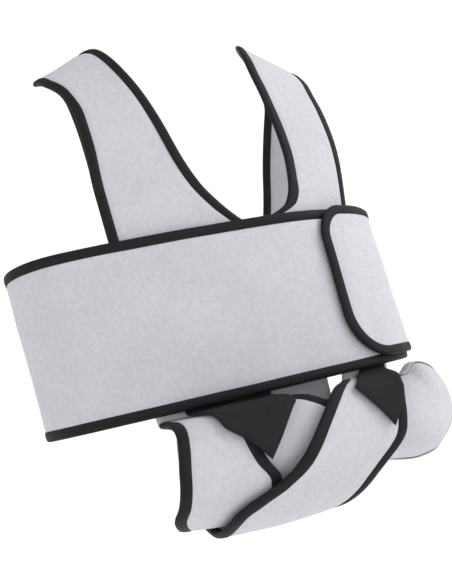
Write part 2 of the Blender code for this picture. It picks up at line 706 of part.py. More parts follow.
def make_pouch(collection):
    surface = raised(pouch_point, -1)
    hand_end = HAND_START_X + HAND_LENGTH * math.radians(HAND_CLOSING_ANGLE)

    def front_corner(a, b):
        u = mix(POUCH_FRONT_X, hand_end, a)
        return u, mix(max(seam_angle(u), blend(u, POUCH_OPENING_EDGE)), 180 - seam_angle(u), b)

    def back_corner(a, b):
        u = mix(POUCH_BACK_X, hand_end, a)
        return u, mix(180 + seam_angle(u), min(360 - seam_angle(u), blend(u, POUCH_BACK_TOP_EDGE)), b)

    def front_rows(a, b):
        """The front panel with a row of its grid along the inner edge of its opening's tape."""
        row = round(b * POUCH_ROWS)
        if row == 0 or row == POUCH_ROWS:
            return front_corner(a, b)
        near = tape_share(surface, side_of(front_corner, "low"), a)
        return front_corner(a, mix(near, 1, (row - 1) / (POUCH_ROWS - 1)))

    panel("pouch_front_panel", surface, front_rows, POUCH_COLUMNS, POUCH_ROWS, collection)
    panel("pouch_back_panel", surface, back_corner, POUCH_COLUMNS, POUCH_ROWS, collection)
    hanger_surface = sling_layer(0.0, CLOTH_TOP_INSET)

    def hanger_corner(a, b):
        x = mix(POUCH_BACK_X, HANGER_END_X, a)
        angles = [REAR_TANGENT_ANGLE + 1, TOP_ANGLE, TOP_ANGLE + 2 * SEWN_RISE]
        return x, float(np.interp(b, [0, 0.8, 1], angles))

    panel("pouch_hanger", hanger_surface, hanger_corner, 8, 10, collection)

    reach = round((POUCH_OPENING_END_X - POUCH_FRONT_X) / (hand_end - POUCH_FRONT_X) * POUCH_COLUMNS)
    binding("pouch_opening_binding", surface, front_corner, "low", [0, reach], POUCH_COLUMNS,
            collection)
    make_seam_tape(collection)


def make_seam_tape(collection):
    """Tape over the seam round the hand end, where the front and back panels meet."""
    centre_y = forearm_size(HAND_START_X)[0]
    stand = PANEL_THICKNESS / 2 + TAPE_GAP + GAP + TAPE_THICKNESS / 2
    closing = math.radians(HAND_CLOSING_ANGLE)

    def seam_line(along):
        turn = closing * min(1.0, (1 - abs(along)) / (1 - SEAM_END_SHARE))
        top, bottom = hand_outline(turn)
        up = min(1.0, max(0.0, 0.5 + along / SEAM_END_SHARE / 2))
        return np.array([HAND_START_X + HAND_LENGTH * math.sin(turn), mix(bottom, top, up)])

    def place(a, b):
        along = mix(*SEAM_TAPE_ENDS, a)
        ahead = unit(seam_line(along + 0.01) - seam_line(along - 0.01))
        x, z = seam_line(along) + stand * np.array([ahead[1], -ahead[0]])
        return x, centre_y + mix(-SEAM_TAPE_WIDTH / 2, SEAM_TAPE_WIDTH / 2, b), z

    cloth("pouch_seam_tape", place, 2 * EDGE_STEPS, 2, TAPE_THICKNESS, GREY_CLOTH, collection)


def row_angle(b, stretches):
    """Angle of a row, from stretches of (rows, angle at their end) that start at the sewn edge."""
    counts = [0] + [rows for rows, angle in stretches]
    angles = [-SEWN_RISE] + [angle for rows, angle in stretches]
    places = np.cumsum(counts)
    return float(np.interp(b * places[-1], places, angles))


def rows_in(stretches):
    return sum(rows for rows, angle in stretches)


def make_elbow_cuff(collection):
    surface = sling_layer(LAYER_PITCH, CLOTH_TOP_INSET)
    steps = rows_in(CUFF_ROWS)

    def corner(a, b):
        angle = row_angle(b, CUFF_ROWS)
        return mix(blend(angle, CUFF_OPENING_EDGE), blend(angle, CUFF_FRONT_EDGE), a), angle

    panel("elbow_cuff_panel", surface, bound_columns(surface, corner, CUFF_COLUMNS),
          CUFF_COLUMNS, steps, collection)
    taped = [TAPE_FIRST_ROW, steps - CUFF_REAR_ROWS]
    binding("elbow_cuff_opening_binding", surface, corner, "start", taped, steps, collection)
    binding("elbow_cuff_front_binding", surface, corner, "end", taped, steps, collection)


def make_forearm_wrap(collection):
    surface = sling_layer(2 * LAYER_PITCH, CLOTH_TOP_INSET)
    steps = rows_in(WRAP_ROWS)

    def corner(a, b):
        angle = row_angle(b, WRAP_ROWS)
        return mix(blend(angle, WRAP_LEADING_EDGE), blend(angle, WRAP_WRIST_EDGE), a), angle

    panel("forearm_wrap_panel", surface, bound_columns(surface, corner, WRAP_COLUMNS),
          WRAP_COLUMNS, steps, collection)
    taped = [TAPE_FIRST_ROW, steps]
    binding("forearm_wrap_leading_binding", surface, corner, "start", taped, steps, collection)
    binding("forearm_wrap_wrist_binding", surface, corner, "end", taped, steps, collection)


def make_sling_tab(name, sides, layer_offset, collection):
    """A webbing tab: its sewn anchor behind the band's edge, the free tab and its hook patch."""
    surface = sling_layer(layer_offset, TAB_TOP_INSET)
    left, right = sides
    hinge = TAB_ANCHOR_ANGLE + 0.7

    def across(a, left_angle, right_angle):
        first = np.array([blend(left_angle, left), left_angle])
        second = np.array([blend(right_angle, right), right_angle])
        return mix(first, second, a)

    def anchor_corner(a, b):
        angle = float(np.interp(b, [0, 0.25, 1], [TAB_SEWN_ANGLE, 0, TAB_ANCHOR_ANGLE]))
        return across(a, angle, angle)

    def tab_corner(a, b):
        return across(a, mix(hinge, left[-1][0], b), mix(hinge, right[-1][0], b))

    def patch_corner(a, b):
        return tab_corner(mix(1, TAB_COLUMNS - 1, a) / TAB_COLUMNS, mix(4, TAB_ROWS - 1, b) / TAB_ROWS)

    panel(f"{name}_anchor", surface, anchor_corner, TAB_COLUMNS, 8, collection, WEBBING_THICKNESS,
          DARK_HOOK)
    tab = panel(name, surface, tab_corner, TAB_COLUMNS, TAB_ROWS, collection, WEBBING_THICKNESS,
                DARK_HOOK)
    patch_offset = -(WEBBING_THICKNESS / 2 + GAP + HOOK_THICKNESS / 2)
    patch = panel(f"{name}_hook_patch", surface, patch_corner, TAB_COLUMNS - 2, TAB_ROWS - 5,
                  collection, HOOK_THICKNESS, DARK_HOOK, patch_offset)
    middle = surface(*tab_corner(0.5, 0), WEBBING_THICKNESS / 2)
    hang_on_pivot(f"{name}_pivot", middle, [tab, patch], collection)


# ---- Pivots


def hang_on_pivot(name, position, pieces, collection):
    """An empty on the joint's axis carries the pieces that move about it."""
    pivot = bpy.data.objects.new(name, None)
    pivot.empty_display_size = 0.02
    pivot.location = position
    collection.objects.link(pivot)
    bpy.context.view_layer.update()
    for piece in pieces:
        piece.parent = pivot
        piece.matrix_parent_inverse = pivot.matrix_world.inverted()


def main():
    for old in list(bpy.data.objects):
        bpy.data.objects.remove(old, do_unlink=True)
    collection = bpy.data.collections.new("arm_sling")
    bpy.context.scene.collection.children.link(collection)
    make_band(collection)
    make_flap(collection)
    make_strap("right", RIGHT_STRAP_EDGES, collection)
    make_strap("left", LEFT_STRAP_EDGES, collection)
    make_pouch(collection)
    make_elbow_cuff(collection)
    make_forearm_wrap(collection)
    make_sling_tab("elbow_tab", ELBOW_TAB_SIDES, LAYER_PITCH + TAB_PITCH, collection)
    make_sling_tab("wrist_tab", WRIST_TAB_SIDES, 2 * LAYER_PITCH + TAB_PITCH, collection)


main()
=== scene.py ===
"""Arm sling of the vest kind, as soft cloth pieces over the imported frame, with its studio.

A wide grey band goes round the torso and the right upper arm and closes with a flap. Two straps go
over the shoulders, and a cuff, a pouch and a wrap under the band carry the forearm. Every edge has
black tape folded over it. The wearer faces -Y and their left is +X. Metres, +Z up.
"""

import functools
import json
import math

import bpy
import numpy as np
from mathutils import Matrix, Vector


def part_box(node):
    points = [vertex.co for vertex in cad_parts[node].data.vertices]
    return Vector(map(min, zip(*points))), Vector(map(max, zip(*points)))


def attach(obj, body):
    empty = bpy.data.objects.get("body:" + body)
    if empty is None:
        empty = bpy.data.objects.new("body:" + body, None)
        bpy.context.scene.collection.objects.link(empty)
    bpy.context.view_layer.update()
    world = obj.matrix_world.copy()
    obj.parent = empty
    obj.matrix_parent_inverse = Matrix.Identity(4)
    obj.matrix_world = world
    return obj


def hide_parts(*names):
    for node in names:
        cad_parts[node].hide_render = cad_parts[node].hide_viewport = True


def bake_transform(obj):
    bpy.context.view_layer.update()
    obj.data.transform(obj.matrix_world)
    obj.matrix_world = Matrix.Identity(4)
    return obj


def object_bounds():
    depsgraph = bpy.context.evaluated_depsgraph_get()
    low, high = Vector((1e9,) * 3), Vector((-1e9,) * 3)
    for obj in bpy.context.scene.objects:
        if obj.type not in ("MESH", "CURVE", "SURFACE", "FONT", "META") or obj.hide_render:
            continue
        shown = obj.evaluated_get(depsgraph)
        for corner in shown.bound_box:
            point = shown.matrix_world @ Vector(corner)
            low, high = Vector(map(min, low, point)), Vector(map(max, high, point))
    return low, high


bl_info = {
    "name": "Arm sling",
    "version": (1, 0, 0),
    "blender": (4, 5, 0),
    "location": "View3D > Sidebar > Arm sling",
    "description": "Builds the arm sling's cloth pieces and its studio over the packed frame",
    "category": "Object",
}

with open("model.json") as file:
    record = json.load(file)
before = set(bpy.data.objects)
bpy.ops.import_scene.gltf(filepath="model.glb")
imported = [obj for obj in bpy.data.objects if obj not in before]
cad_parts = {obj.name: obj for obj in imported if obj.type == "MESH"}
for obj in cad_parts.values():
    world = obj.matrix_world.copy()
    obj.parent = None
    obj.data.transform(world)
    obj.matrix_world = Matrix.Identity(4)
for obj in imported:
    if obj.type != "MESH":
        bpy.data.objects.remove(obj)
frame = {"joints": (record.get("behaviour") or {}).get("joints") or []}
CAD_LOW, CAD_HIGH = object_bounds()

BAND_LOW, BAND_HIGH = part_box("chest_band_panel")
BAND_BOTTOM_Z = BAND_LOW[2]
BAND_TOP_Z = BAND_HIGH[2]
BAND_HEIGHT = BAND_TOP_Z - BAND_BOTTOM_Z
PANEL_THICKNESS = 0.003
BINDING_WIDTH = 0.010
WEBBING_THICKNESS = 0.002

# Band round the torso and the right upper arm
TORSO_CENTRE_X = 0.044
TORSO_HALF_WIDTH = 0.136
TORSO_TAPER = 0.013
TORSO_HALF_DEPTH = 0.0955
TORSO_DEEPENING = 0.003
ARM_OFFSET_X = -0.176
ARM_OFFSET_Y = -0.005
ARM_RADIUS = 0.049
ARM_FLARE = 0.011
PLAN_BLEND = 0.0083

# Cloth and trim
TAPE_THICKNESS = 0.0005
HOOK_THICKNESS = 0.0012
GAP = 0.0003
TAPE_GAP = 0.0007
SEAM_GAP = 0.00045
LAYER_CLEARANCE = 0.0020
POUCH_CLEARANCE = 0.003

# Closure of the band
FRONT_END_S = 0.150
SIDE_END_S = 0.205
FLAP_END_S = 0.029
FLAP_ROOT_S = 0.222
FLAP_TOP_RISE = 0.002
FLAP_BOTTOM_RISE = 0.006
FLAP_TOP_CORNER = 0.030
FLAP_BOTTOM_CORNER = 0.045
FLAP_PATCH_LENGTH = 0.050
FLAP_PATCH_INSET = 0.018

# Shoulder straps: the form that they lie on, and their edges by angle over the shoulder
SHOULDER_RISE = 0.2115
SHOULDER_SLOPE = 0.553
SHOULDER_NECK_X = 0.077
ARCH_EXPONENT = 2 / 1.75
CHEST_FULLNESS = 0.16
CHEST_ANGLE = 32.0
STRAP_OVERLAP = 0.022
STRAP_BACK_CLEARANCE = 0.012
STRAP_TAB_LENGTH = 0.062
RIGHT_STRAP_EDGES = [
    (0, 0.003, -0.112), (6, -0.014, -0.113), (12, -0.027, -0.114), (20, -0.037, -0.115),
    (31, -0.045, -0.114), (42, -0.053, -0.114), (54, -0.062, -0.119), (70, -0.071, -0.130),
    (88, -0.080, -0.134), (105, -0.062, -0.112), (120, -0.044, -0.096), (150, -0.024, -0.078),
    (180, -0.010, -0.068),
]
LEFT_STRAP_EDGES = [
    (0, 0.024, 0.119), (4, 0.047, 0.122), (10, 0.056, 0.125), (20, 0.061, 0.128),
    (31, 0.061, 0.130), (45, 0.062, 0.132), (60, 0.067, 0.138), (75, 0.076, 0.141),
    (90, 0.090, 0.148), (105, 0.112, 0.160), (120, 0.126, 0.166), (150, 0.122, 0.164),
    (180, 0.104, 0.147),
]

# Forearm sling: elliptical sections from the elbow to the wrist, then a rounded hand end
ELBOW_X = -0.115
WRIST_X = 0.080
ELBOW_CENTRE_Y = -0.080
WRIST_CENTRE_Y = -0.090
ELBOW_HALF_DEPTH = 0.0405
WRIST_HALF_DEPTH = 0.036
ELBOW_CENTRE_DROP = 0.044
WRIST_CENTRE_DROP = 0.049
ELBOW_HALF_HEIGHT = 0.034
WRIST_HALF_HEIGHT = 0.031
FOREARM_BULGE = 0.003
FOREARM_SAG = 0.011
HAND_START_X = 0.086
HAND_LENGTH = 0.074
HAND_CLOSING_ANGLE = 79.0
HAND_TOP_DROPS = [(0, 0.018), (29, 0.0155), (42, 0.0075), (58, 0.013), (70, 0.026), (90, 0.046)]
HAND_BOTTOM_DROPS = [(0, 0.080), (20, 0.0845), (35, 0.083), (50, 0.075), (74, 0.060), (90, 0.046)]
SEAM_END_SHARE = 0.1
POUCH_MOUTH_X = -0.030
POUCH_MOUTH_RUN = 0.045
FRONT_TANGENT_ANGLE = 55.0
REAR_TANGENT_ANGLE = 300.0
TOP_ANGLE = 355.0
RISE_PER_DEGREE = 0.001
EDGE_DROP = 0.0025
EDGE_PULL = 0.35
HANGER_INSET = 0.020
SEAM_TAPE_WIDTH = 0.012
SEAM_TAPE_ENDS = (-0.97, 0.70)
POUCH_FRONT_X = -0.068
POUCH_OPENING_END_X = 0.064
POUCH_BACK_X = -0.085
HANGER_END_X = 0.054
SEWN_RISE = 15.0

# Edges of the sling's cloth, as (angle round the forearm, x)
CUFF_OPENING_EDGE = [
    (-15, -0.104), (0, -0.102), (20, -0.101), (45, -0.104), (64, -0.1075), (88, -0.112),
    (104, -0.1135), (125, -0.1155), (140, -0.1175), (165, -0.112), (192, -0.100), (230, -0.084),
    (300, -0.078), (370, -0.078),
]
CUFF_FRONT_EDGE = [
    (-15, -0.056), (30, -0.054), (75, -0.050), (93, -0.045), (112, -0.036), (140, -0.040),
    (200, -0.050), (300, -0.055), (370, -0.055),
]
WRAP_LEADING_EDGE = [
    (-15, 0.066), (4, 0.061), (25, 0.048), (45, 0.030), (67, 0.010), (80, -0.0025), (93, -0.015),
    (107, -0.032), (116, -0.048), (125, -0.065), (137, -0.077), (160, -0.082), (235, -0.080),
]
WRAP_WRIST_EDGE = [
    (-15, 0.124), (6, 0.119), (28, 0.106), (51, 0.0925), (67, 0.085), (83, 0.080), (99, 0.075),
    (109, 0.0675), (117, 0.059), (130, 0.047), (160, 0.032), (235, 0.010),
]
POUCH_OPENING_EDGE = [
    (-0.070, 60), (-0.052, 50), (-0.034, 34), (-0.014, 22), (0.002, 23), (0.014, 32),
    (0.025, 44), (0.036, 51),
    (0.048, 50), (0.062, 40), (0.080, 24), (0.100, 7), (0.115, 0),
]
POUCH_BACK_TOP_EDGE = [(-0.090, 299), (0.058, 299), (0.070, 325), (0.080, 358), (0.130, 360)]

# Sides of the sling's tabs, from the band's edge to the tab's slanting end, as (angle, x)
ELBOW_TAB_SIDES = (
    [(-15, -0.082), (0, -0.080), (59, -0.072), (75, -0.0575), (93, -0.0435)],
    [(-15, -0.009), (0, -0.008), (29, -0.005), (51, -0.0075)],
)
WRIST_TAB_SIDES = (
    [(-15, 0.088), (0, 0.081), (14, 0.0725), (53, 0.0425)],
    [(-15, 0.118), (0, 0.114), (15, 0.110), (48, 0.091), (72, 0.0775), (90, 0.063)],
)
TAB_ANCHOR_ANGLE = 16.0
TAB_SEWN_ANGLE = -14.0

CUFF_ROWS = [(2, 0), (3, 9), (4, 30), (14, 300), (5, 340), (4, 355), (1, 370)]
WRAP_ROWS = [(2, 0), (3, 9), (4, 30), (13, 235)]
TAPE_FIRST_ROW = 5
CUFF_REAR_ROWS = 5

# Folds, creases and trims
END_TAPE_INSET = BINDING_WIDTH + 0.0006
STRAP_SPREAD = 0.055
TAB_TRIM = 0.004
TAB_STOPS = [0, 0.18, 0.36, 1]
PATCH_ACROSS = (0.17, 0.83)
PATCH_ALONG = (0.73, 0.91)
SEAM_STRIP_THICKNESS = 0.0012
CREASE_REACH = (0.026, 0.12, 0.03)
CREASE_PIVOT = 0.07
CREASES = [(0.086, 0.02, 0.0035, 0.0016), (0.070, 0.0, 0.003, 0.0012)]

# Studio: the bowl's radius and height, and each light's place, size and share of the key's power
BOWL_PROFILE = [(0.0, 0.0), (1.2, 0.0), (2.0, 0.02), (2.6, 0.2), (3.0, 0.6), (3.2, 1.2), (3.2, 4.2)]
BOWL_SIDES = 64
PAPER_SHADES = ((0.92, 0.92, 0.93, 1.0), (0.95, 0.95, 0.95, 1.0))
LIGHT_TARGET = (0.0, -0.02, -0.22)
LIGHTS = [
    ("key_light", (1.3, -0.9, 0.85), 0.9, 1.0),
    ("left_light", (-1.3, -0.9, 0.3), 1.2, 0.03),
    ("rim_light", (0.5, 1.4, 0.8), 1.0, 0.5),
]

# Values that follow
BINDING_STAND = PANEL_THICKNESS / 2 + TAPE_GAP + TAPE_THICKNESS
FLAP_OFFSET = BINDING_STAND + GAP + BINDING_STAND
STRAP_INSET = -(BINDING_STAND + GAP + BINDING_STAND)
STRAP_TAB_OFFSET = BINDING_STAND + GAP + HOOK_THICKNESS + GAP + WEBBING_THICKNESS / 2
LAYER_PITCH = 2 * BINDING_STAND + LAYER_CLEARANCE
PATCH_OFFSET = -(WEBBING_THICKNESS / 2 + GAP + HOOK_THICKNESS / 2)
TAB_PITCH = BINDING_STAND + TAPE_GAP + HOOK_THICKNESS + GAP + WEBBING_THICKNESS / 2
TAB_TOP_INSET = -(BINDING_STAND + GAP + WEBBING_THICKNESS / 2)
CLOTH_TOP_INSET = TAB_TOP_INSET - WEBBING_THICKNESS / 2 - GAP - BINDING_STAND


def blend(values, ends):
    """Smooth value between stations, by monotone cubic interpolation of (position, value) pairs."""
    positions = np.array([pair[0] for pair in ends], dtype=float)
    heights = np.array([pair[1] for pair in ends], dtype=float)
    slopes = np.diff(heights) / np.diff(positions)
    tangents = np.empty(len(positions))
    tangents[0] = slopes[0]
    tangents[-1] = slopes[-1]
    for i in range(1, len(positions) - 1):
        same_way = slopes[i - 1] * slopes[i] > 0
        mean = 2 / (1 / slopes[i - 1] + 1 / slopes[i]) if same_way else 0.0
        tangents[i] = mean
    i = int(np.clip(np.searchsorted(positions, values) - 1, 0, len(positions) - 2))
    length = positions[i + 1] - positions[i]
    t = (np.clip(values, positions[0], positions[-1]) - positions[i]) / length
    first = heights[i] * (1 + 2 * t) * (1 - t) ** 2 + heights[i + 1] * t * t * (3 - 2 * t)
    second = tangents[i] * t * (1 - t) ** 2 - tangents[i + 1] * t * t * (1 - t)
    return float(first + second * length)


def smooth_step(t):
    t = min(1.0, max(0.0, t))
    return t * t * (3 - 2 * t)


def mix(a, b, t):
    return a + (b - a) * t


def unit(vector):
    return vector / np.linalg.norm(vector)


def plan_point(angle, z, offset):
    """Point of the band at height z whose outward direction has this angle, moved out by offset."""
    share = (z - BAND_BOTTOM_Z) / BAND_HEIGHT
    width = TORSO_HALF_WIDTH - TORSO_TAPER * share
    depth = TORSO_HALF_DEPTH + TORSO_DEEPENING * share
    radius = ARM_RADIUS + ARM_FLARE * share
    cos = math.cos(angle)
    sin = math.sin(angle)
    torso = math.hypot(width * cos, depth * sin)
    torso_slope = (depth ** 2 - width ** 2) * cos * sin / torso
    arm = ARM_OFFSET_X * cos + ARM_OFFSET_Y * sin + radius
    arm_slope = ARM_OFFSET_Y * cos - ARM_OFFSET_X * sin
    torso_weight = 1 / (1 + math.exp((arm - torso) / PLAN_BLEND))
    arm_weight = 1 - torso_weight
    reach = max(torso, arm) + PLAN_BLEND * math.log1p(math.exp(-abs(arm - torso) / PLAN_BLEND))
    slope = torso_weight * torso_slope + arm_weight * arm_slope
    reach += offset
    x = TORSO_CENTRE_X + reach * cos - slope * sin
    y = reach * sin + slope * cos
    return np.array([x, y, z])


def plan_table():
    """Arc length round the band's middle, from the centre front, against the outward angle."""
    middle = (BAND_TOP_Z + BAND_BOTTOM_Z) / 2
    angles = np.linspace(-math.pi / 2 - math.pi, -math.pi / 2 + math.pi, 1441)
    points = np.array([plan_point(angle, middle, 0.0) for angle in angles])
    steps = np.linalg.norm(np.diff(points, axis=0), axis=1)
    lengths = np.concatenate([[0.0], np.cumsum(steps)])
    return angles, lengths - np.interp(-math.pi / 2, angles, lengths), lengths[-1]


PLAN_ANGLES, PLAN_LENGTHS, GIRTH = plan_table()


def band_surface(s, z, offset=0.0):
    if s < PLAN_LENGTHS[0]:
        angle = float(np.interp(s + GIRTH, PLAN_LENGTHS, PLAN_ANGLES)) - 2 * math.pi
    else:
        angle = float(np.interp(s, PLAN_LENGTHS, PLAN_ANGLES))
    return plan_point(angle, z, offset)


@functools.lru_cache(maxsize=None)
def half_plan(z, offset, front):
    """The band's plan in front of the body or behind it, as rising x and its distance from y = 0."""
    angles = np.linspace(-math.pi, 0.0, 721) if front else np.linspace(math.pi, 0.0, 721)
    points = np.array([plan_point(angle, z, offset) for angle in angles])
    return points[:, 0], np.abs(points[:, 1])


def plan_depth(x, z, offset, front):
    """How far the band's front or back lies from y = 0 at this x."""
    return float(np.interp(x, *half_plan(z, offset, front)))


def partials(surface, u, v):
    step = 1e-4
    along_u = (surface(u + step, v) - surface(u - step, v)) / (2 * step)
    along_v = (surface(u, v + step) - surface(u, v - step)) / (2 * step)
    return along_u, along_v


def raised(surface, facing=1):
    """The surface with a third argument, an offset along its normal on the facing side."""
    def moved(u, v, offset=0.0):
        point = surface(u, v)
        if offset == 0.0:
            return point
        along_u, along_v = partials(surface, u, v)
        return point + unit(np.cross(along_u, along_v)) * facing * offset
    return moved


def side_of(corner, side):
    """The sheet's pattern seen from one side: a place along it, and a share of the way inward."""
    views = {
        "start": lambda along, inward: corner(inward, along),
        "end": lambda along, inward: corner(1 - inward, along),
        "low": lambda along, inward: corner(along, inward),
        "high": lambda along, inward: corner(along, 1 - inward),
    }
    return views[side]


def tape_share(surface, seen, along):
    """Share of the way across the sheet that BINDING_WIDTH covers, measured square to the side."""
    span = 0.03
    step = 0.004
    ahead = unit(surface(*seen(along + span, 0)) - surface(*seen(along - span, 0)))
    across = (surface(*seen(along, step)) - surface(*seen(along, 0))) / step
    return BINDING_WIDTH / np.linalg.norm(np.cross(ahead, across))


def flap_end(z):
    """Where the flap's free end lies at height z, with its two rounded corners."""
    top = BAND_TOP_Z + FLAP_TOP_RISE
    bottom = BAND_BOTTOM_Z + FLAP_BOTTOM_RISE
    into_top = max(0.0, z - (top - FLAP_TOP_CORNER)) / FLAP_TOP_CORNER
    into_bottom = max(0.0, bottom + FLAP_BOTTOM_CORNER - z) / FLAP_BOTTOM_CORNER
    upper = FLAP_TOP_CORNER * (1 - math.sqrt(max(0.0, 1 - into_top ** 2)))
    lower = FLAP_BOTTOM_CORNER * (1 - math.sqrt(max(0.0, 1 - into_bottom ** 2)))
    return FLAP_END_S + upper + lower


def flap_outline(t):
    """The flap's edge from the root along the top, round the free end and back along the bottom."""
    top = BAND_TOP_Z + FLAP_TOP_RISE
    bottom = BAND_BOTTOM_Z + FLAP_BOTTOM_RISE
    upper_run = FLAP_ROOT_S - FLAP_END_S - FLAP_TOP_CORNER
    upper_arc = FLAP_TOP_CORNER * math.pi / 2
    straight = top - bottom - FLAP_TOP_CORNER - FLAP_BOTTOM_CORNER
    lower_arc = FLAP_BOTTOM_CORNER * math.pi / 2
    lower_run = FLAP_ROOT_S - FLAP_END_S - FLAP_BOTTOM_CORNER
    distance = t * (upper_run + upper_arc + straight + lower_arc + lower_run)
    if distance < upper_run:
        return FLAP_ROOT_S - distance, top
    distance -= upper_run
    if distance < upper_arc:
        turn = distance / FLAP_TOP_CORNER
        s = FLAP_END_S + FLAP_TOP_CORNER * (1 - math.sin(turn))
        return s, top - FLAP_TOP_CORNER * (1 - math.cos(turn))
    distance -= upper_arc
    if distance < straight:
        return FLAP_END_S, top - FLAP_TOP_CORNER - distance
    distance -= straight
    if distance < lower_arc:
        turn = distance / FLAP_BOTTOM_CORNER
        s = FLAP_END_S + FLAP_BOTTOM_CORNER * (1 - math.cos(turn))
        return s, bottom + FLAP_BOTTOM_CORNER * (1 - math.sin(turn))
    distance -= lower_arc
    return FLAP_END_S + FLAP_BOTTOM_CORNER + distance, bottom


def shoulder_surface(x, angle):
    """The form under a strap: an arch from the band's front top (0) to its back top (180)."""
    turn = math.radians(angle)
    cos = math.cos(turn)
    sin = max(0.0, math.sin(turn))
    fullness = CHEST_FULLNESS * smooth_step((min(angle, 180 - angle) - 2) / CHEST_ANGLE)
    front = cos >= 0
    offset = STRAP_INSET if front else STRAP_TAB_OFFSET
    depth = plan_depth(x * (1 - fullness), BAND_TOP_Z, offset, front)
    rise = SHOULDER_RISE - SHOULDER_SLOPE * (abs(x) - SHOULDER_NECK_X)
    y = -math.copysign(abs(cos) ** ARCH_EXPONENT, cos) * depth
    return np.array([x, y, BAND_TOP_Z + rise * sin ** ARCH_EXPONENT])


def strap_surface(x, angle):
    """The shoulder form, and below it the inside of the band's front."""
    if angle >= 0:
        return shoulder_surface(x, angle)
    z = BAND_TOP_Z + angle * RISE_PER_DEGREE
    return np.array([x, -plan_depth(x, z, STRAP_INSET, True), z])


def back_surface(x, z):
    """The outside of the band's back, carried on above its top, where the strap tabs lie."""
    return np.array([x, plan_depth(x, z, STRAP_TAB_OFFSET, False), z])


def strap_end_angle(edges):
    middle = (edges[-1][1] + edges[-1][2]) / 2
    rise = SHOULDER_RISE - SHOULDER_SLOPE * (abs(middle) - SHOULDER_NECK_X)
    return 180 - math.degrees(math.asin((STRAP_BACK_CLEARANCE / rise) ** (1 / ARCH_EXPONENT)))


def forearm_size(x):
    """Centre y, centre z, half depth and half height of the sling's section at x."""
    t = (x - ELBOW_X) / (WRIST_X - ELBOW_X)
    middle = 4 * t * (1 - t) if 0 < t < 1 else 0.0
    clamped = min(1.2, max(-0.2, t))
    centre_y = mix(ELBOW_CENTRE_Y, WRIST_CENTRE_Y, clamped)
    centre_z = BAND_BOTTOM_Z - mix(ELBOW_CENTRE_DROP, WRIST_CENTRE_DROP, clamped)
    half_depth = mix(ELBOW_HALF_DEPTH, WRIST_HALF_DEPTH, clamped) + FOREARM_BULGE * middle
    half_height = mix(ELBOW_HALF_HEIGHT, WRIST_HALF_HEIGHT, clamped) + FOREARM_SAG * middle
    return centre_y, centre_z, half_depth, half_height


def ellipse_point(x, angle, offset):
    centre_y, centre_z, half_depth, half_height = forearm_size(x)
    turn = math.radians(angle)
    y = centre_y - (half_depth + offset) * math.sin(turn)
    return np.array([x, y, centre_z + (half_height + offset) * math.cos(turn)])


def ellipse_heading(x, angle):
    return unit(ellipse_point(x, angle + 1, 0.0) - ellipse_point(x, angle - 1, 0.0))


def hermite(start, start_pull, end, end_pull, t):
    keep = (1 + 2 * t) * (1 - t) ** 2
    lead = t * (1 - t) ** 2
    trail = t * t * (1 - t)
    return start * keep + end * (1 - keep) + start_pull * lead - end_pull * trail


def sling_layer(layer_offset, front_inset):
    """A sheet round the forearm: angle 0 is under the band's front, 90 the front, 180 the bottom.

    Below 0 the sheet goes up inside the band's front, and past 355 it does so behind the forearm.
    """
    rear_inset = -(HANGER_INSET + layer_offset)
    edge_z = BAND_BOTTOM_Z - EDGE_DROP - (TAB_TOP_INSET - front_inset)
    rear_edge_z = BAND_BOTTOM_Z - EDGE_DROP - (2 * LAYER_PITCH - layer_offset)
    down = np.array([0.0, 0.0, -1.0])

    def surface(x, angle):
        if angle <= 0:
            z = edge_z - angle * RISE_PER_DEGREE
            return np.array([x, -plan_depth(x, z, front_inset, True), z])
        if angle < FRONT_TANGENT_ANGLE:
            top = np.array([x, -plan_depth(x, edge_z, front_inset, True), edge_z])
            tangent = ellipse_point(x, FRONT_TANGENT_ANGLE, layer_offset)
            reach = np.linalg.norm(tangent - top)
            heading = ellipse_heading(x, FRONT_TANGENT_ANGLE) * reach
            t = angle / FRONT_TANGENT_ANGLE
            return hermite(top, down * reach * EDGE_PULL, tangent, heading, t)
        if angle <= REAR_TANGENT_ANGLE:
            return ellipse_point(x, angle, layer_offset)
        if angle < TOP_ANGLE:
            top = np.array([x, -plan_depth(x, rear_edge_z, rear_inset, True), rear_edge_z])
            tangent = ellipse_point(x, REAR_TANGENT_ANGLE, layer_offset)
            reach = np.linalg.norm(tangent - top)
            heading = ellipse_heading(x, REAR_TANGENT_ANGLE) * reach
            t = (angle - REAR_TANGENT_ANGLE) / (TOP_ANGLE - REAR_TANGENT_ANGLE)
            return hermite(tangent, heading, top, -down * reach * EDGE_PULL, t)
        z = rear_edge_z + (angle - TOP_ANGLE) * RISE_PER_DEGREE
        return np.array([x, -plan_depth(x, z, rear_inset, True), z])

    return raised(surface, -1)


FRONT_LAYER = sling_layer(0.0, CLOTH_TOP_INSET - LAYER_PITCH - POUCH_CLEARANCE)


def pouch_point(u, angle):
    """The pouch's surface: the forearm's section, then shrinking sections round the hand.

    Up to HAND_START_X, u is x. Beyond it, u runs on as the angle of the rounded end.
    """
    if u <= HAND_START_X:
        on_forearm = ellipse_point(u, angle, 0.0)
        if angle >= FRONT_TANGENT_ANGLE or u >= HAND_START_X:
            return on_forearm
        under_cuff = FRONT_LAYER(u, angle)
        return mix(under_cuff, on_forearm, smooth_step((u - POUCH_MOUTH_X) / POUCH_MOUTH_RUN))
    turn = (u - HAND_START_X) / HAND_LENGTH
    top, bottom = hand_outline(turn)
    centre_y, centre_z, half_depth, half_height = forearm_size(HAND_START_X)
    around = math.radians(angle)
    x = HAND_START_X + HAND_LENGTH * math.sin(turn)
    y = centre_y - half_depth * math.cos(turn) * math.sin(around)
    return np.array([x, y, (top + bottom) / 2 + (top - bottom) / 2 * math.cos(around)])


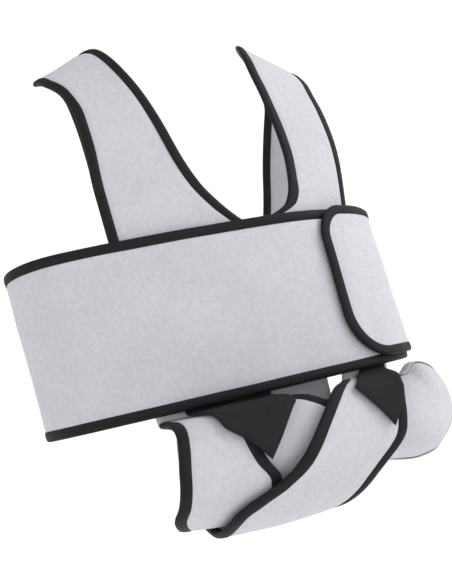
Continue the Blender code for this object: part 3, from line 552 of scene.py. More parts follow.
def hand_outline(turn):
    """Top and bottom of the hand end's seam, at an angle round its blunt end."""
    angle = math.degrees(turn)
    return BAND_BOTTOM_Z - blend(angle, HAND_TOP_DROPS), BAND_BOTTOM_Z - blend(angle, HAND_BOTTOM_DROPS)


def seam_angle(u):
    """Angle from the seam that keeps the edge of a sheet clear of the seam's plane."""
    turn = max(0.0, (u - HAND_START_X) / HAND_LENGTH)
    half_depth = forearm_size(min(u, HAND_START_X))[2] * math.cos(turn)
    return math.degrees(math.asin(SEAM_GAP / half_depth))


def row_angle(b, stretches):
    """Angle of a row, from stretches of (rows, angle at their end) that start at the sewn edge."""
    counts = [0] + [rows for rows, angle in stretches]
    angles = [-SEWN_RISE] + [angle for rows, angle in stretches]
    places = np.cumsum(counts)
    return float(np.interp(b * places[-1], places, angles))


def rows_in(stretches):
    return sum(rows for rows, angle in stretches)


# ---- Sheets and tape as closed meshes


# Share of a sheet's thickness by distance from its nearest taped side
SWELL = ([0, 0.0078, 0.0098, 0.0125, 0.019, 0.032], [0.8, 0.8, 1.08, 1.28, 1.10, 1.0])
RAW_EDGE_SHARE = 0.55

# Section of the folded tape in mm, as (distance in from the edge, height), down to the fold's middle
TAPE_OUTSIDE = [(8.2, 1.40), (7.6, 2.05), (5.8, 2.5), (3.0, 2.6), (0.6, 2.2), (-0.5, 1.15)]
TAPE_INSIDE = [(8.0, 1.30), (7.2, 1.45), (5.4, 1.55), (2.8, 1.55), (0.8, 1.45), (0.1, 0.75)]
TAPE_OUTER_FOLD = (-0.9, 0.0)
TAPE_INNER_FOLD = (-0.3, 0.0)
TAPE_WALK = [0, 0.9, 2.8, 5.6, 8.1, 9.7, 11.0]
TAPE_STEP = 0.0022
MILLIMETRE = 0.001
FEEL = 0.001

# Stitches on the tape
STITCH_INSET = 0.0021
STITCH_PITCH = 0.0034
STITCH_HALF_LENGTH = 0.00125
STITCH_HALF_WIDTH = 0.00035
STITCH_GROOVE = 0.0009

# Unevenness of the cloth
RELIEF = 0.00035
RELIEF_WAVES = 7
RELIEF_LENGTHS = (0.03, 0.09)
SEED = 11


def relief_waves():
    """Directions, wave numbers and phases of the cloth's slight unevenness."""
    chance = np.random.default_rng(SEED)
    directions = chance.normal(size=(RELIEF_WAVES, 3))
    directions /= np.linalg.norm(directions, axis=1, keepdims=True)
    lengths = chance.uniform(*RELIEF_LENGTHS, (RELIEF_WAVES, 1))
    return directions * (2 * math.pi / lengths), chance.uniform(0, 6.28, RELIEF_WAVES)


WAVES, PHASES = relief_waves()


def relief(points):
    """How far the cloth stands off its plain shape at each point, alike for layers that touch."""
    return RELIEF * np.sin(points @ WAVES.T + PHASES).sum(axis=-1) / math.sqrt(len(PHASES))


def lattice(surface, corner, columns, rows):
    """Points of the middle of a sheet, row by row."""
    return np.array([[surface(*corner(i / columns, j / rows)) for i in range(columns + 1)]
                     for j in range(rows + 1)])


def lengths_along(points, axis):
    """Distance walked along each line of the lattice."""
    steps = np.linalg.norm(np.diff(points, axis=axis), axis=2)
    walked = np.cumsum(steps, axis=axis)
    return np.insert(walked, 0, 0.0, axis=axis)


def outward_normals(points, surface, corner):
    normals = np.cross(np.gradient(points, axis=1), np.gradient(points, axis=0))
    normals /= np.linalg.norm(normals, axis=2, keepdims=True)
    rows, columns = points.shape[0] - 1, points.shape[1] - 1
    middle = corner(round(columns / 2) / columns, round(rows / 2) / rows)
    outward = surface(*middle, FEEL) - surface(*middle)
    facing = float(np.dot(normals[round(rows / 2), round(columns / 2)], outward))
    return normals if facing > 0 else -normals


def closed_mesh(name, faces_of_body, uvs, slot_name):
    """A closed body between two lattices of points alike in size, joined round their rims."""
    rows, columns = faces_of_body[0].shape[:2]
    count = rows * columns
    spots = np.arange(count).reshape(rows, columns)
    quads = np.stack([spots[:-1, :-1], spots[:-1, 1:], spots[1:, 1:], spots[1:, :-1]], axis=-1)
    quads = quads.reshape(-1, 4)
    ring = np.concatenate([spots[0, :-1], spots[:-1, -1], spots[-1, :0:-1], spots[:0:-1, 0]])
    after = np.roll(ring, -1)
    rim = np.stack([after, ring, ring + count, after + count], axis=-1)
    vertices = np.concatenate([points.reshape(-1, 3) for points in faces_of_body])
    mesh = bpy.data.meshes.new(name)
    faces = np.concatenate([quads, quads[:, ::-1] + count, rim])
    mesh.from_pydata(vertices.tolist(), [], faces.tolist())
    both = np.concatenate([uvs.reshape(-1, 2), uvs.reshape(-1, 2)])
    indices = np.empty(len(mesh.loops), dtype=np.int32)
    mesh.loops.foreach_get("vertex_index", indices)
    cloth_uvs = mesh.uv_layers.new(name="Cloth")
    cloth_uvs.data.foreach_set("uv", both[indices].astype(np.float32).ravel())
    mesh.shade_smooth()
    mesh.update()
    piece = bpy.data.objects.new(name, mesh)
    bpy.context.scene.collection.objects.link(piece)
    mesh.materials.append(bpy.data.materials[slot_name])
    turn_outward(mesh)
    return piece


def turn_outward(mesh):
    """Turns the faces outward where the body came out inside out."""
    corners = [mesh.vertices[i].co for polygon in mesh.polygons for i in polygon.vertices[:3]]
    a, b, c = np.array(corners).reshape(-1, 3, 3).transpose(1, 0, 2)
    if float((a * np.cross(b, c)).sum()) < 0:
        mesh.flip_normals()


def sheet_piece(name, surface, corner, step, taped=(), slot_name="grey_cloth",
                thickness=PANEL_THICKNESS, shape=None, offset=0.0):
    """A sheet of cloth with soft edges that swells beside its tape, its flat size and its area."""
    rough = lattice(surface, corner, 8, 8)
    columns = max(4, math.ceil(lengths_along(rough, 1)[:, -1].max() / step))
    rows = max(4, math.ceil(lengths_along(rough, 0)[-1].max() / step))
    points = lattice(surface, corner, columns, rows)
    normals = outward_normals(points, surface, corner)
    across = lengths_along(points, 1)
    along = lengths_along(points, 0)
    walks = {"start": across, "end": across[:, -1:] - across, "low": along, "high": along[-1:] - along}
    near_tape = np.min([walks[side] for side in taped] or [np.ones(across.shape)], axis=0)
    near_edge = np.min(list(walks.values()), axis=0)
    half = thickness / 2 * np.interp(near_tape, *SWELL)
    half = half * np.interp(near_edge, [0, step], [RAW_EDGE_SHARE, 1])
    lift = relief(points) + offset
    if shape is not None:
        lift = lift + shape(points[..., 2], across)
    middle = points + normals * lift[..., None]
    faces = [middle + normals * half[..., None], middle - normals * half[..., None]]
    piece = closed_mesh(name, faces, np.stack([across, along], axis=-1), slot_name)
    cells = np.cross(points[:-1, 1:] - points[:-1, :-1], points[1:, :-1] - points[:-1, :-1])
    flat = (float(across[:, -1].max()), float(along[-1].max()))
    return piece, flat, min(float(np.linalg.norm(cells, axis=2).sum()), flat[0] * flat[1])


def tape_piece(name, stations):
    """Tape folded over an edge. Each station is the edge, half way and right in from it, and a side."""
    edge, half_way, inner, outward = np.array(stations).transpose(1, 0, 2)
    ahead = np.gradient(edge, axis=0)
    lift = relief(edge)[:, None]

    def path(leg, fold):
        columns = []
        for distance, height in leg + [fold] + [(d, -h) for d, h in reversed(leg)]:
            t = distance * MILLIMETRE / BINDING_WIDTH
            place = edge * (1 - 3 * t + 2 * t * t) + half_way * (4 * t - 4 * t * t)
            place = place + inner * (2 * t * t - t)
            inward = edge * (4 * t - 3) + half_way * (4 - 8 * t) + inner * (4 * t - 1)
            normal = np.cross(ahead, inward)
            normal /= np.linalg.norm(normal, axis=1, keepdims=True)
            normal *= np.sign((normal * outward).sum(axis=1, keepdims=True))
            columns.append(place + normal * (height * MILLIMETRE + lift))
        return np.stack(columns, axis=1)

    walked = np.insert(np.cumsum(np.linalg.norm(np.diff(edge, axis=0), axis=1)), 0, 0.0)
    spread = np.array(TAPE_WALK)
    profile_walk = np.concatenate([spread, 2 * spread[-1] - spread[-2::-1]]) * MILLIMETRE
    uvs = np.stack(np.broadcast_arrays(walked[:, None], profile_walk[None, :]), axis=-1)
    sides = [path(TAPE_OUTSIDE, TAPE_OUTER_FOLD), path(TAPE_INSIDE, TAPE_INNER_FOLD)]
    return closed_mesh(name, sides, uvs, "black_tape")


def side_tape(name, surface, corner, side, span=(0.0, 1.0)):
    """Tape over one side of a sheet, between two shares of its length."""
    seen = side_of(corner, side)
    rough = np.array([surface(*seen(mix(*span, t), 0)) for t in np.linspace(0, 1, 25)])
    count = math.ceil(np.linalg.norm(np.diff(rough, axis=0), axis=1).sum() / TAPE_STEP)
    stations = []
    for t in np.linspace(0, 1, count + 1):
        along = mix(*span, t)
        share = tape_share(surface, seen, along)
        places = [surface(*seen(along, inward * share)) for inward in (0, 0.5, 1)]
        stations.append(places + [surface(*seen(along, 0.5 * share), FEEL) - places[1]])
    return tape_piece(name, stations)


def outline_tape(name, surface, outline, length):
    """Tape over an outline that turns corners."""
    stations = []
    for t in np.linspace(0, 1, math.ceil(length / TAPE_STEP) + 1):
        u, v = outline(t)
        ahead = unit(np.array(outline(min(1, t + 0.002))) - np.array(outline(max(0, t - 0.002))))
        spots = [(u - ahead[1] * d, v + ahead[0] * d) for d in (0, BINDING_WIDTH / 2, BINDING_WIDTH)]
        places = [surface(*spot) for spot in spots]
        stations.append(places + [surface(*spots[1], FEEL) - places[1]])
    return tape_piece(name, stations)


# ---- Materials


class Socket:
    """A number socket that takes part in ordinary arithmetic and makes the maths nodes it needs."""

    def __init__(self, tree, socket):
        self.tree = tree
        self.socket = socket

    def maths(self, operation, *values, clamp=False):
        node = self.tree.nodes.new("ShaderNodeMath")
        node.operation = operation
        node.use_clamp = clamp
        for entry, value in zip(node.inputs, values):
            fill(self.tree, entry, value)
        return Socket(self.tree, node.outputs[0])

    def __add__(self, other):
        return self.maths("ADD", self, other)

    def __radd__(self, other):
        return self.maths("ADD", other, self)

    def __sub__(self, other):
        return self.maths("SUBTRACT", self, other)

    def __rsub__(self, other):
        return self.maths("SUBTRACT", other, self)

    def __mul__(self, other):
        return self.maths("MULTIPLY", self, other)

    def __rmul__(self, other):
        return self.maths("MULTIPLY", other, self)

    def __mod__(self, other):
        return self.maths("FLOORED_MODULO", self, other)

    def __abs__(self):
        return self.maths("ABSOLUTE", self)

    def __lt__(self, other):
        return self.maths("LESS_THAN", self, other)

    def sine(self):
        return self.maths("SINE", self)

    def clamped(self):
        return self.maths("MULTIPLY", self, 1.0, clamp=True)


def fill(tree, entry, value):
    """Links a socket to a node's input, or sets the input to a plain value."""
    if isinstance(value, Socket):
        tree.links.new(value.socket, entry)
    elif isinstance(value, bpy.types.NodeSocket):
        tree.links.new(value, entry)
    else:
        entry.default_value = value


def add_node(tree, kind, settings=(), numbered=(), **named):
    """Makes a shader node, sets its settings, then fills its inputs by number or by name."""
    node = tree.nodes.new(kind)
    for key, value in dict(settings).items():
        setattr(node, key, value)
    for key, value in dict(numbered).items():
        fill(tree, node.inputs[key], value)
    for key, value in named.items():
        fill(tree, node.inputs[key.replace("_", " ")], value)
    return node


def colour_mix(tree, factor, first, second):
    node = add_node(tree, "ShaderNodeMix", {"data_type": "RGBA"}, {0: factor, 6: first, 7: second})
    return node.outputs[2]


def noise_value(tree, where, scale, detail=2.0):
    node = add_node(tree, "ShaderNodeTexNoise", Vector=where, Scale=scale, Detail=detail)
    return Socket(tree, node.outputs["Fac"])


def shaded(colour, factor):
    return tuple(min(1.0, channel * factor) for channel in colour) + (1.0,)


def ripple(walk, per_metre):
    """An even wave from 0 to 1 along a distance over the cloth."""
    return (walk * per_metre).sine() * 0.5 + 0.5


class Finish:
    """A material under way: its shader, where it lies, and distances u and v over the cloth."""

    def __init__(self, name, **constants):
        material = bpy.data.materials.get(name) or bpy.data.materials.new(name)
        material.use_nodes = True
        self.tree = material.node_tree
        self.tree.nodes.clear()
        self.shader = add_node(self.tree, "ShaderNodeBsdfPrincipled", **constants)
        add_node(self.tree, "ShaderNodeOutputMaterial", Surface=self.shader.outputs[0])
        cloth_uv = add_node(self.tree, "ShaderNodeUVMap", {"uv_map": "Cloth"}).outputs[0]
        axes = add_node(self.tree, "ShaderNodeSeparateXYZ", Vector=cloth_uv)
        self.where = add_node(self.tree, "ShaderNodeTexCoord").outputs["Object"]
        self.u = Socket(self.tree, axes.outputs["X"])
        self.v = Socket(self.tree, axes.outputs["Y"])

    def noise(self, scale, detail=2.0):
        return noise_value(self.tree, self.where, scale, detail)

    def complete(self, tone, dark, light, roughness, height, depth):
        """Colour between two shades by tone, with the roughness, and bumps of this height and depth."""
        bump = add_node(self.tree, "ShaderNodeBump", Height=height, Distance=depth, Strength=0.8)
        base = colour_mix(self.tree, tone.clamped(), dark, light)
        fill(self.tree, self.shader.inputs["Base Color"], base)
        fill(self.tree, self.shader.inputs["Roughness"], roughness.clamped())
        fill(self.tree, self.shader.inputs["Normal"], bump.outputs[0])


def grey_cloth_material(colour):
    """Brushed loop cloth: short felted fibres in soft patches over a faint knitted ground."""
    finish = Finish("grey_cloth", Sheen_Weight=0.15, Sheen_Roughness=0.5, Specular_IOR_Level=0.2)
    patches = finish.noise(26.0, 3.0)
    mottle = finish.noise(260.0, 4.0)
    fibres = finish.noise(1500.0)
    knit = (finish.u * 3900.0).sine() * (finish.v * 3100.0).sine() * 0.5 + 0.5
    tone = (patches - 0.5) * 0.5 + (mottle - 0.5) * 1.1 + (fibres - 0.5) * 0.9 + 0.5
    roughness = 0.88 + (mottle - 0.5) * 0.2
    height = mottle * 0.9 + fibres * 0.5 + knit * 0.15
    finish.complete(tone, shaded(colour, 0.86), shaded(colour, 1.12), roughness, height, 0.0005)


def black_tape_material(colour):
    """Folded woven tape: fine ribs along it, and a row of stitches beside each inner edge."""
    finish = Finish("black_tape", Specular_IOR_Level=0.22)
    fold = TAPE_WALK[-1] * MILLIMETRE
    rib = ripple(finish.v, 7000.0)
    pick = ripple(finish.u, 9000.0)
    from_row = abs(fold - abs(finish.v - fold) - STITCH_INSET)
    dash = abs((finish.u % STITCH_PITCH) - STITCH_PITCH / 2) < STITCH_HALF_LENGTH
    stitch = (from_row < STITCH_HALF_WIDTH) * dash
    groove = from_row < STITCH_GROOVE
    worn = finish.noise(90.0, 3.0)
    tone = worn * 0.6 + pick * 0.15 + stitch * 0.5
    roughness = 0.52 + worn * 0.2 + rib * 0.08
    height = rib * 0.16 + pick * 0.12 + stitch * 0.9 - groove * 0.5
    finish.complete(tone, shaded(colour, 0.6), shaded(colour, 2.1), roughness, height, 0.0004)


def dark_hook_material(colour):
    """Hook tape: rows of tiny hooks on a woven ground, matte and a little dusty."""
    finish = Finish("dark_hook", Specular_IOR_Level=0.12)
    rows_of_hooks = (finish.u * 4200.0).sine() * (finish.v * 4200.0).sine() * 0.5 + 0.5
    hooks = rows_of_hooks * finish.noise(900.0)
    dust = finish.noise(45.0, 4.0)
    tone = dust * 0.7 + hooks * 0.5
    roughness = 0.8 + dust * 0.15
    height = hooks + dust * 0.2
    finish.complete(tone, shaded(colour, 0.7), shaded(colour, 1.5), roughness, height, 0.0006)


# ---- Hidden parts, bodies and joint places


def stand_for(piece, *nodes):
    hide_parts(*nodes)
    return piece


def ride_vest(*pieces):
    for piece in pieces:
        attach(piece, "vest")


def hinge_place(name):
    """Where a joint lies, from the record."""
    return Vector(next(joint for joint in frame["joints"] if joint["name"] == name)["pos_m"])


# ---- Pieces


def build_band(step):
    start = SIDE_END_S - GIRTH
    length = FRONT_END_S - start

    def corner(a, b):
        return start + length * a, mix(BAND_BOTTOM_Z, BAND_TOP_Z, b)

    band = sheet_piece("chest_band", band_surface, corner, step, ["start", "end", "low", "high"])
    clear = END_TAPE_INSET / BAND_HEIGHT
    tapes = []
    for name, side, span in (("top", "high", (0, 1)), ("bottom", "low", (0, 1)),
                             ("front_end", "end", (clear, 1 - clear)),
                             ("side_end", "start", (clear, 1 - clear))):
        tape = side_tape(f"chest_band_{name}_tape", band_surface, corner, side, span)
        tapes.append(stand_for(tape, f"chest_band_{name}_binding"))
    ride_vest(stand_for(band[0], "chest_band_panel"), *tapes)


def build_flap(step):
    top = BAND_TOP_Z + FLAP_TOP_RISE
    bottom = BAND_BOTTOM_Z + FLAP_BOTTOM_RISE

    def surface(s, z, offset=0.0):
        return band_surface(s, z, FLAP_OFFSET + offset)

    def corner(a, b):
        z = mix(bottom, top, (1 - math.cos(math.pi * b)) / 2)
        return mix(flap_end(z), FLAP_ROOT_S, a), z

    def creases(height, from_end):
        """Two faint dents across the flap where the cloth has been folded."""
        rise = height - BAND_BOTTOM_Z
        begin, finish, fade = CREASE_REACH
        reach = np.clip((from_end - begin) / fade, 0, 1) * np.clip((finish - from_end) / fade, 0, 1)
        dents = 0.0
        for low, slope, width, depth in CREASES:
            centre = low + slope * (from_end - CREASE_PIVOT)
            dents = dents + depth * np.exp(-((rise - centre) / width) ** 2)
        return -reach * dents

    flap = sheet_piece("closure_flap", surface, corner, step, ["start", "low", "high"], shape=creases)
    length = 2 * (FLAP_ROOT_S - FLAP_END_S) + BAND_HEIGHT
    tape = outline_tape("closure_flap_tape", surface, flap_outline, length)

    def patch_corner(a, b):
        s = FLAP_END_S + FLAP_PATCH_INSET + FLAP_PATCH_LENGTH * a
        return s, mix(bottom + FLAP_BOTTOM_CORNER * 0.6, top - FLAP_TOP_CORNER * 0.8, b)

    patch = sheet_piece("closure_flap_hook", surface, patch_corner, step, (), "dark_hook",
                        HOOK_THICKNESS, offset=-(PANEL_THICKNESS / 2 + GAP + HOOK_THICKNESS / 2))
    stand_for(flap[0], "closure_flap_panel")
    stand_for(tape, "closure_flap_binding")
    stand_for(patch[0], "closure_flap_hook_patch")
    middle = (top + bottom) / 2
    ahead = Vector(surface(FLAP_ROOT_S - 0.02, middle)) - Vector(surface(FLAP_ROOT_S, middle))
    ahead = ahead.normalized()
    first = hinge_place("closure_flap_fold") + ahead * 0.001
    for piece in (flap[0], tape):
        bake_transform(piece)
    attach(patch[0], "closure_flap")


def build_strap(side, edges, step):
    inner = [(angle, neck) for angle, neck, arm in edges]
    outer = [(angle, arm) for angle, neck, arm in edges]
    first = -STRAP_OVERLAP / RISE_PER_DEGREE
    last = strap_end_angle(edges)
    surface = raised(strap_surface, -1)

    def corner(a, b):
        angle = mix(first, last, b + STRAP_SPREAD * math.sin(2 * math.pi * b))
        return mix(blend(angle, inner), blend(angle, outer), a), angle

    strap = sheet_piece(f"{side}_strap", surface, corner, step, ["start", "end"])
    tapes = []
    for name, seam in (("neck", "start"), ("arm", "end")):
        tape = side_tape(f"{side}_strap_{name}_tape", surface, corner, seam)
        tapes.append(stand_for(tape, f"{side}_strap_{name}_binding"))
    ride_vest(stand_for(strap[0], f"{side}_strap_panel"), *tapes)
    build_strap_tab(side, blend(last, inner), blend(last, outer), step)


def build_strap_tab(side, inner_x, outer_x, step):
    surface = raised(back_surface, -1)
    top = BAND_TOP_Z + STRAP_BACK_CLEARANCE - TAPE_GAP - GAP
    bottom = top - STRAP_TAB_LENGTH
    trim = math.copysign(TAB_TRIM, outer_x - inner_x)

    def corner(a, b):
        return mix(inner_x + trim, outer_x - trim, a), mix(bottom, top, b)

    def patch_corner(a, b):
        low = bottom + TAB_TRIM
        high = BAND_TOP_Z - BINDING_WIDTH - TAB_TRIM / 2
        return mix(inner_x + 2 * trim, outer_x - 2 * trim, a), mix(low, high, b)

    tab = sheet_piece(f"{side}_strap_tab", surface, corner, step, (), "dark_hook", WEBBING_THICKNESS)
    patch = sheet_piece(f"{side}_strap_hook", surface, patch_corner, step, (), "dark_hook",
                        HOOK_THICKNESS, offset=PATCH_OFFSET)
    stand_for(tab[0], f"{side}_strap_back_tab")
    stand_for(patch[0], f"{side}_strap_hook_patch")
    bend_and_ride(tab[0], patch[0], f"{side}_strap_tab", f"{side}_strap_tab")


def bend_and_ride(tab, patch, joint, body):
    """The tab keeps the place it was built in, with its transform baked, and the patch rides the given
    body.
    """
    place = hinge_place(f"{joint}_fold")
    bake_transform(tab)
    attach(patch, body)


def build_pouch(step):
    surface = raised(pouch_point, -1)
    hand_end = HAND_START_X + HAND_LENGTH * math.radians(HAND_CLOSING_ANGLE)

    def front_corner(a, b):
        u = mix(POUCH_FRONT_X, hand_end, a)
        return u, mix(max(seam_angle(u), blend(u, POUCH_OPENING_EDGE)), 180 - seam_angle(u), b)

    def back_corner(a, b):
        u = mix(POUCH_BACK_X, hand_end, a)
        return u, mix(180 + seam_angle(u), min(360 - seam_angle(u), blend(u, POUCH_BACK_TOP_EDGE)), b)

    front = sheet_piece("pouch_front", surface, front_corner, step)
    back = sheet_piece("pouch_back", surface, back_corner, step)

    def hanger_corner(a, b):
        angles = [REAR_TANGENT_ANGLE + 1, TOP_ANGLE, TOP_ANGLE + 2 * SEWN_RISE]
        return mix(POUCH_BACK_X, HANGER_END_X, a), float(np.interp(b, [0, 0.8, 1], angles))

    hanger_surface = sling_layer(0.0, CLOTH_TOP_INSET)
    hanger = sheet_piece("pouch_hanger_cloth", hanger_surface, hanger_corner, step)
    reach = (POUCH_OPENING_END_X - POUCH_FRONT_X) / (hand_end - POUCH_FRONT_X)
    tape = side_tape("pouch_opening_tape", surface, front_corner, "low", (0, reach))
    seam = build_pouch_seam(step)
    ride_vest(stand_for(front[0], "pouch_front_panel"), stand_for(back[0], "pouch_back_panel"),
              stand_for(hanger[0], "pouch_hanger"), stand_for(tape, "pouch_opening_binding"),
              stand_for(seam[0], "pouch_seam_tape"))


def build_pouch_seam(step):
    """Soft strip over the seam round the hand end."""
    centre_y = forearm_size(HAND_START_X)[0]
    stand = PANEL_THICKNESS / 2 + TAPE_GAP
    closing = math.radians(HAND_CLOSING_ANGLE)

    def seam_line(along):
        turn = closing * min(1.0, (1 - abs(along)) / (1 - SEAM_END_SHARE))
        top, bottom = hand_outline(turn)
        up = min(1.0, max(0.0, 0.5 + along / SEAM_END_SHARE / 2))
        return np.array([HAND_START_X + HAND_LENGTH * math.sin(turn), mix(bottom, top, up)])

    def surface(along, across, offset=0.0):
        ahead = unit(seam_line(along + 0.01) - seam_line(along - 0.01))
        x, z = seam_line(along) + (stand + offset) * np.array([ahead[1], -ahead[0]])
        return np.array([x, centre_y + across, z])

    def corner(a, b):
        return mix(*SEAM_TAPE_ENDS, a), mix(-SEAM_TAPE_WIDTH / 2, SEAM_TAPE_WIDTH / 2, b)

    return sheet_piece("pouch_seam", surface, corner, step, thickness=SEAM_STRIP_THICKNESS)


def build_cuff(step):
    surface = sling_layer(LAYER_PITCH, CLOTH_TOP_INSET)
    rows = rows_in(CUFF_ROWS)

    def corner(a, b):
        angle = row_angle(b, CUFF_ROWS)
        return mix(blend(angle, CUFF_OPENING_EDGE), blend(angle, CUFF_FRONT_EDGE), a), angle

    build_sling_cloth("elbow_cuff", surface, corner, ("opening", "front"),
                      (TAPE_FIRST_ROW / rows, 1 - CUFF_REAR_ROWS / rows), step)


def build_wrap(step):
    surface = sling_layer(2 * LAYER_PITCH, CLOTH_TOP_INSET)

    def corner(a, b):
        angle = row_angle(b, WRAP_ROWS)
        return mix(blend(angle, WRAP_LEADING_EDGE), blend(angle, WRAP_WRIST_EDGE), a), angle

    build_sling_cloth("forearm_wrap", surface, corner, ("leading", "wrist"),
                      (TAPE_FIRST_ROW / rows_in(WRAP_ROWS), 1), step)


def build_sling_cloth(name, surface, corner, edges, span, step):
    cloth = sheet_piece(name, surface, corner, step, ["start", "end"])
    tapes = []
    for edge, side in zip(edges, ("start", "end")):
        tape = side_tape(f"{name}_{edge}_tape", surface, corner, side, span)
        tapes.append(stand_for(tape, f"{name}_{edge}_binding"))
    ride_vest(stand_for(cloth[0], f"{name}_panel"), *tapes)


def build_sling_tab(name, sides, layer_offset, step):
    """A webbing tab from inside the band down over the sling, with a hook patch that rides the tab's
    end body.
    """
    surface = sling_layer(layer_offset, TAB_TOP_INSET)

    def corner(a, b):
        spots = []
        for side in sides:
            angles = [TAB_SEWN_ANGLE, 0, TAB_ANCHOR_ANGLE, side[-1][0]]
            angle = np.interp(b, TAB_STOPS, angles)
            spots.append(np.array([blend(angle, side), angle]))
        return mix(*spots, a)

    def patch_corner(a, b):
        return corner(mix(*PATCH_ACROSS, a), mix(*PATCH_ALONG, b))

    tab = sheet_piece(f"{name}_webbing", surface, corner, step, (), "dark_hook", WEBBING_THICKNESS)
    patch = sheet_piece(f"{name}_hook", surface, patch_corner, step, (), "dark_hook", HOOK_THICKNESS,
                        offset=PATCH_OFFSET)
    stand_for(tab[0], name, f"{name}_anchor")
    stand_for(patch[0], f"{name}_hook_patch")
    ahead = Vector(surface(*corner(0.5, 0.5))) - Vector(surface(*corner(0.5, TAB_STOPS[2])))
    bend_and_ride(tab[0], patch[0], name, f"{name}_end")


# ---- Stage


def build_stage(settings):
    """A pale bowl of a studio, far below the object, with soft lights and the camera."""
    floor_z = CAD_LOW[2] - settings.floor_drop
    vertices = []
    for radius, height in BOWL_PROFILE:
        for k in range(BOWL_SIDES):
            turn = 2 * math.pi * k / BOWL_SIDES
            vertices.append((radius * math.cos(turn), radius * math.sin(turn), floor_z + height))
    faces = []
    for low in range(0, (len(BOWL_PROFILE) - 1) * BOWL_SIDES, BOWL_SIDES):
        for k in range(BOWL_SIDES):
            after = (k + 1) % BOWL_SIDES
            faces.append((low + k, low + after, low + BOWL_SIDES + after, low + BOWL_SIDES + k))
    mesh = bpy.data.meshes.new("studio_bowl")
    mesh.from_pydata(vertices, [], faces)
    mesh.shade_smooth()
    mesh.materials.append(studio_paper(settings.backdrop_glow))
    bowl = bpy.data.objects.new("studio_bowl", mesh)
    bpy.context.scene.collection.objects.link(bowl)
    light_studio(settings)
    place_camera(settings)


def studio_paper(glow):
    material = bpy.data.materials.new("studio_paper")
    material.use_nodes = True
    tree = material.node_tree
    shader = tree.nodes["Principled BSDF"]
    where = add_node(tree, "ShaderNodeTexCoord").outputs["Object"]
    pale = colour_mix(tree, noise_value(tree, where, 3.0), *PAPER_SHADES)
    fill(tree, shader.inputs["Base Color"], pale)
    shader.inputs["Roughness"].default_value = 0.9
    shader.inputs["Emission Color"].default_value = (1.0, 1.0, 1.0, 1.0)
    shader.inputs["Emission Strength"].default_value = glow
    return material


def light_studio(settings):
    """An even white sky and three soft area lights turned towards the object."""
    scene = bpy.context.scene
    world = bpy.data.worlds.new("studio_light")
    world.use_nodes = True
    sky = world.node_tree.nodes["Background"]
    sky.inputs["Color"].default_value = (1.0, 1.0, 1.0, 1.0)
    sky.inputs["Strength"].default_value = settings.sky_strength
    scene.world = world
    scene.view_settings.view_transform = "Standard"
    for name, place, size, share in LIGHTS:
        light = bpy.data.lights.new(name, "AREA")
        light.energy = settings.key_power * share
        light.size = size
        lamp = bpy.data.objects.new(name, light)
        lamp.location = place
        lamp.rotation_mode = "QUATERNION"
        lamp.rotation_quaternion = (Vector(LIGHT_TARGET) - Vector(place)).to_track_quat("-Z", "Y")
        scene.collection.objects.link(lamp)


def place_camera(settings):
    """The camera at its place, turned by its heading and height angle, and rolled about its view."""
    turn, lift, roll = settings.camera_turn, settings.camera_lift, settings.camera_roll
    level = math.cos(lift)
    forward = Vector((-math.sin(turn) * level, math.cos(turn) * level, -math.sin(lift)))
    right = Vector((math.cos(turn), math.sin(turn), 0.0))
    up = right.cross(forward)
    across = right * math.cos(roll) - up * math.sin(roll)
    upward = right * math.sin(roll) + up * math.cos(roll)
    camera = bpy.data.objects.new("camera", bpy.data.cameras.new("camera"))
    camera.data.lens = settings.camera_lens
    camera.data.sensor_width = 36.0
    camera.data.clip_start = 0.01
    basis = Matrix((across, upward, -forward)).transposed()
    camera.matrix_world = Matrix.Translation(settings.camera_place) @ basis.to_4x4()
    bpy.context.scene.collection.objects.link(camera)
    bpy.context.scene.camera = camera


# ---- Add-on


class SlingSettings(bpy.types.PropertyGroup):
    """Sizes and colours of the sling's cloth"""

    cloth_step: bpy.props.FloatProperty(
        name="Cloth step", description="Size of the squares that the cloth is made from",
        default=0.003, min=0.0015, max=0.01, unit="LENGTH")
    cloth_colour: bpy.props.FloatVectorProperty(
        name="Cloth colour", description="Colour of the brushed cloth",
        default=(0.535, 0.54, 0.575), size=3, min=0, max=1, subtype="COLOR")
    tape_colour: bpy.props.FloatVectorProperty(
        name="Tape colour", description="Colour of the folded edge tape",
        default=(0.006, 0.006, 0.0075), size=3, min=0, max=1, subtype="COLOR")
    hook_colour: bpy.props.FloatVectorProperty(
        name="Hook colour", description="Colour of the hook tabs",
        default=(0.018, 0.018, 0.0195), size=3, min=0, max=1, subtype="COLOR")


class StudioSettings(bpy.types.PropertyGroup):
    """Light and camera of the studio"""

    floor_drop: bpy.props.FloatProperty(
        name="Floor drop", description="How far the floor lies below the object",
        default=0.80, min=0, unit="LENGTH")
    backdrop_glow: bpy.props.FloatProperty(
        name="Backdrop glow", description="Light given off by the backdrop", default=0.235, min=0)
    sky_strength: bpy.props.FloatProperty(
        name="Sky strength", description="Brightness of the even light", default=0.45, min=0)
    key_power: bpy.props.FloatProperty(
        name="Key power", description="Power of the main light", default=17.0, min=0, unit="POWER")
    camera_place: bpy.props.FloatVectorProperty(
        name="Camera place", description="Where the camera stands",
        default=(-0.25785, -0.62263, -0.32406), size=3, subtype="TRANSLATION", unit="LENGTH")
    camera_turn: bpy.props.FloatProperty(
        name="Camera turn", description="Turn about the vertical",
        default=math.radians(-23.3), subtype="ANGLE", unit="ROTATION")
    camera_lift: bpy.props.FloatProperty(
        name="Camera lift", description="Height angle of the camera seen from the object",
        default=math.radians(-7.65), subtype="ANGLE", unit="ROTATION")
    camera_roll: bpy.props.FloatProperty(
        name="Camera roll", description="Roll about the view",
        default=math.radians(13.1), subtype="ANGLE", unit="ROTATION")
    camera_lens: bpy.props.FloatProperty(
        name="Camera lens", description="Focal length in millimetres", default=42.9, min=10)


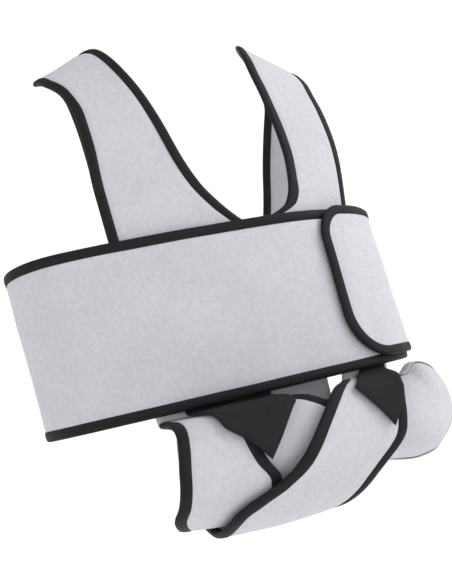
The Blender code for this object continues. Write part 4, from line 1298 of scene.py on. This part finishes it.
class SLING_OT_materials(bpy.types.Operator):
    """Make the cloth, tape and hook materials"""

    bl_idname = "sling.materials"
    bl_label = "Materials"

    def execute(self, context):
        settings = context.scene.sling
        grey_cloth_material(tuple(settings.cloth_colour))
        black_tape_material(tuple(settings.tape_colour))
        dark_hook_material(tuple(settings.hook_colour))
        return {"FINISHED"}


class SLING_OT_band(bpy.types.Operator):
    """Build the band with its tapes"""

    bl_idname = "sling.band"
    bl_label = "Chest band"

    def execute(self, context):
        build_band(context.scene.sling.cloth_step)
        return {"FINISHED"}


class SLING_OT_flap(bpy.types.Operator):
    """Build the closure flap with its tape and hook patch"""

    bl_idname = "sling.flap"
    bl_label = "Closure flap"

    def execute(self, context):
        build_flap(context.scene.sling.cloth_step)
        return {"FINISHED"}


class SLING_OT_straps(bpy.types.Operator):
    """Build the two shoulder straps and their tabs"""

    bl_idname = "sling.straps"
    bl_label = "Shoulder straps"

    def execute(self, context):
        step = context.scene.sling.cloth_step
        build_strap("right", RIGHT_STRAP_EDGES, step)
        build_strap("left", LEFT_STRAP_EDGES, step)
        return {"FINISHED"}


class SLING_OT_pouch(bpy.types.Operator):
    """Build the forearm pouch"""

    bl_idname = "sling.pouch"
    bl_label = "Pouch"

    def execute(self, context):
        build_pouch(context.scene.sling.cloth_step)
        return {"FINISHED"}


class SLING_OT_sling(bpy.types.Operator):
    """Build the elbow cuff, the forearm wrap and their tabs"""

    bl_idname = "sling.sling"
    bl_label = "Cuff, wrap and tabs"

    def execute(self, context):
        step = context.scene.sling.cloth_step
        build_cuff(step)
        build_wrap(step)
        build_sling_tab("elbow_tab", ELBOW_TAB_SIDES, LAYER_PITCH + TAB_PITCH, step)
        build_sling_tab("wrist_tab", WRIST_TAB_SIDES, 2 * LAYER_PITCH + TAB_PITCH, step)
        return {"FINISHED"}


class SLING_OT_stage(bpy.types.Operator):
    """Set up the floor, the lights and the camera"""

    bl_idname = "sling.stage"
    bl_label = "Stage"

    def execute(self, context):
        build_stage(context.scene.sling_studio)
        return {"FINISHED"}


OPERATORS = (SLING_OT_materials, SLING_OT_band, SLING_OT_flap, SLING_OT_straps, SLING_OT_pouch,
             SLING_OT_sling, SLING_OT_stage)


class SLING_PT_panel(bpy.types.Panel):
    """Lists the sling's settings and its operators"""

    bl_idname = "SLING_PT_panel"
    bl_label = "Arm sling"
    bl_space_type = "VIEW_3D"
    bl_region_type = "UI"
    bl_category = "Arm sling"

    def draw(self, context):
        for group in (context.scene.sling, context.scene.sling_studio):
            for key in group.bl_rna.properties.keys():
                if key not in ("rna_type", "name"):
                    self.layout.prop(group, key)
        for operator in OPERATORS:
            self.layout.operator(operator.bl_idname)


CLASSES = (SlingSettings, StudioSettings) + OPERATORS + (SLING_PT_panel,)


def register():
    for item in CLASSES:
        bpy.utils.register_class(item)
    bpy.types.Scene.sling = bpy.props.PointerProperty(type=SlingSettings)
    bpy.types.Scene.sling_studio = bpy.props.PointerProperty(type=StudioSettings)


def unregister():
    del bpy.types.Scene.sling_studio
    del bpy.types.Scene.sling
    for item in reversed(CLASSES):
        bpy.utils.unregister_class(item)


def main():
    register()
    bpy.ops.sling.materials()
    bpy.ops.sling.band()
    bpy.ops.sling.flap()
    bpy.ops.sling.straps()
    bpy.ops.sling.pouch()
    bpy.ops.sling.sling()
    bpy.ops.sling.stage()


if __name__ == "__main__":
    main()
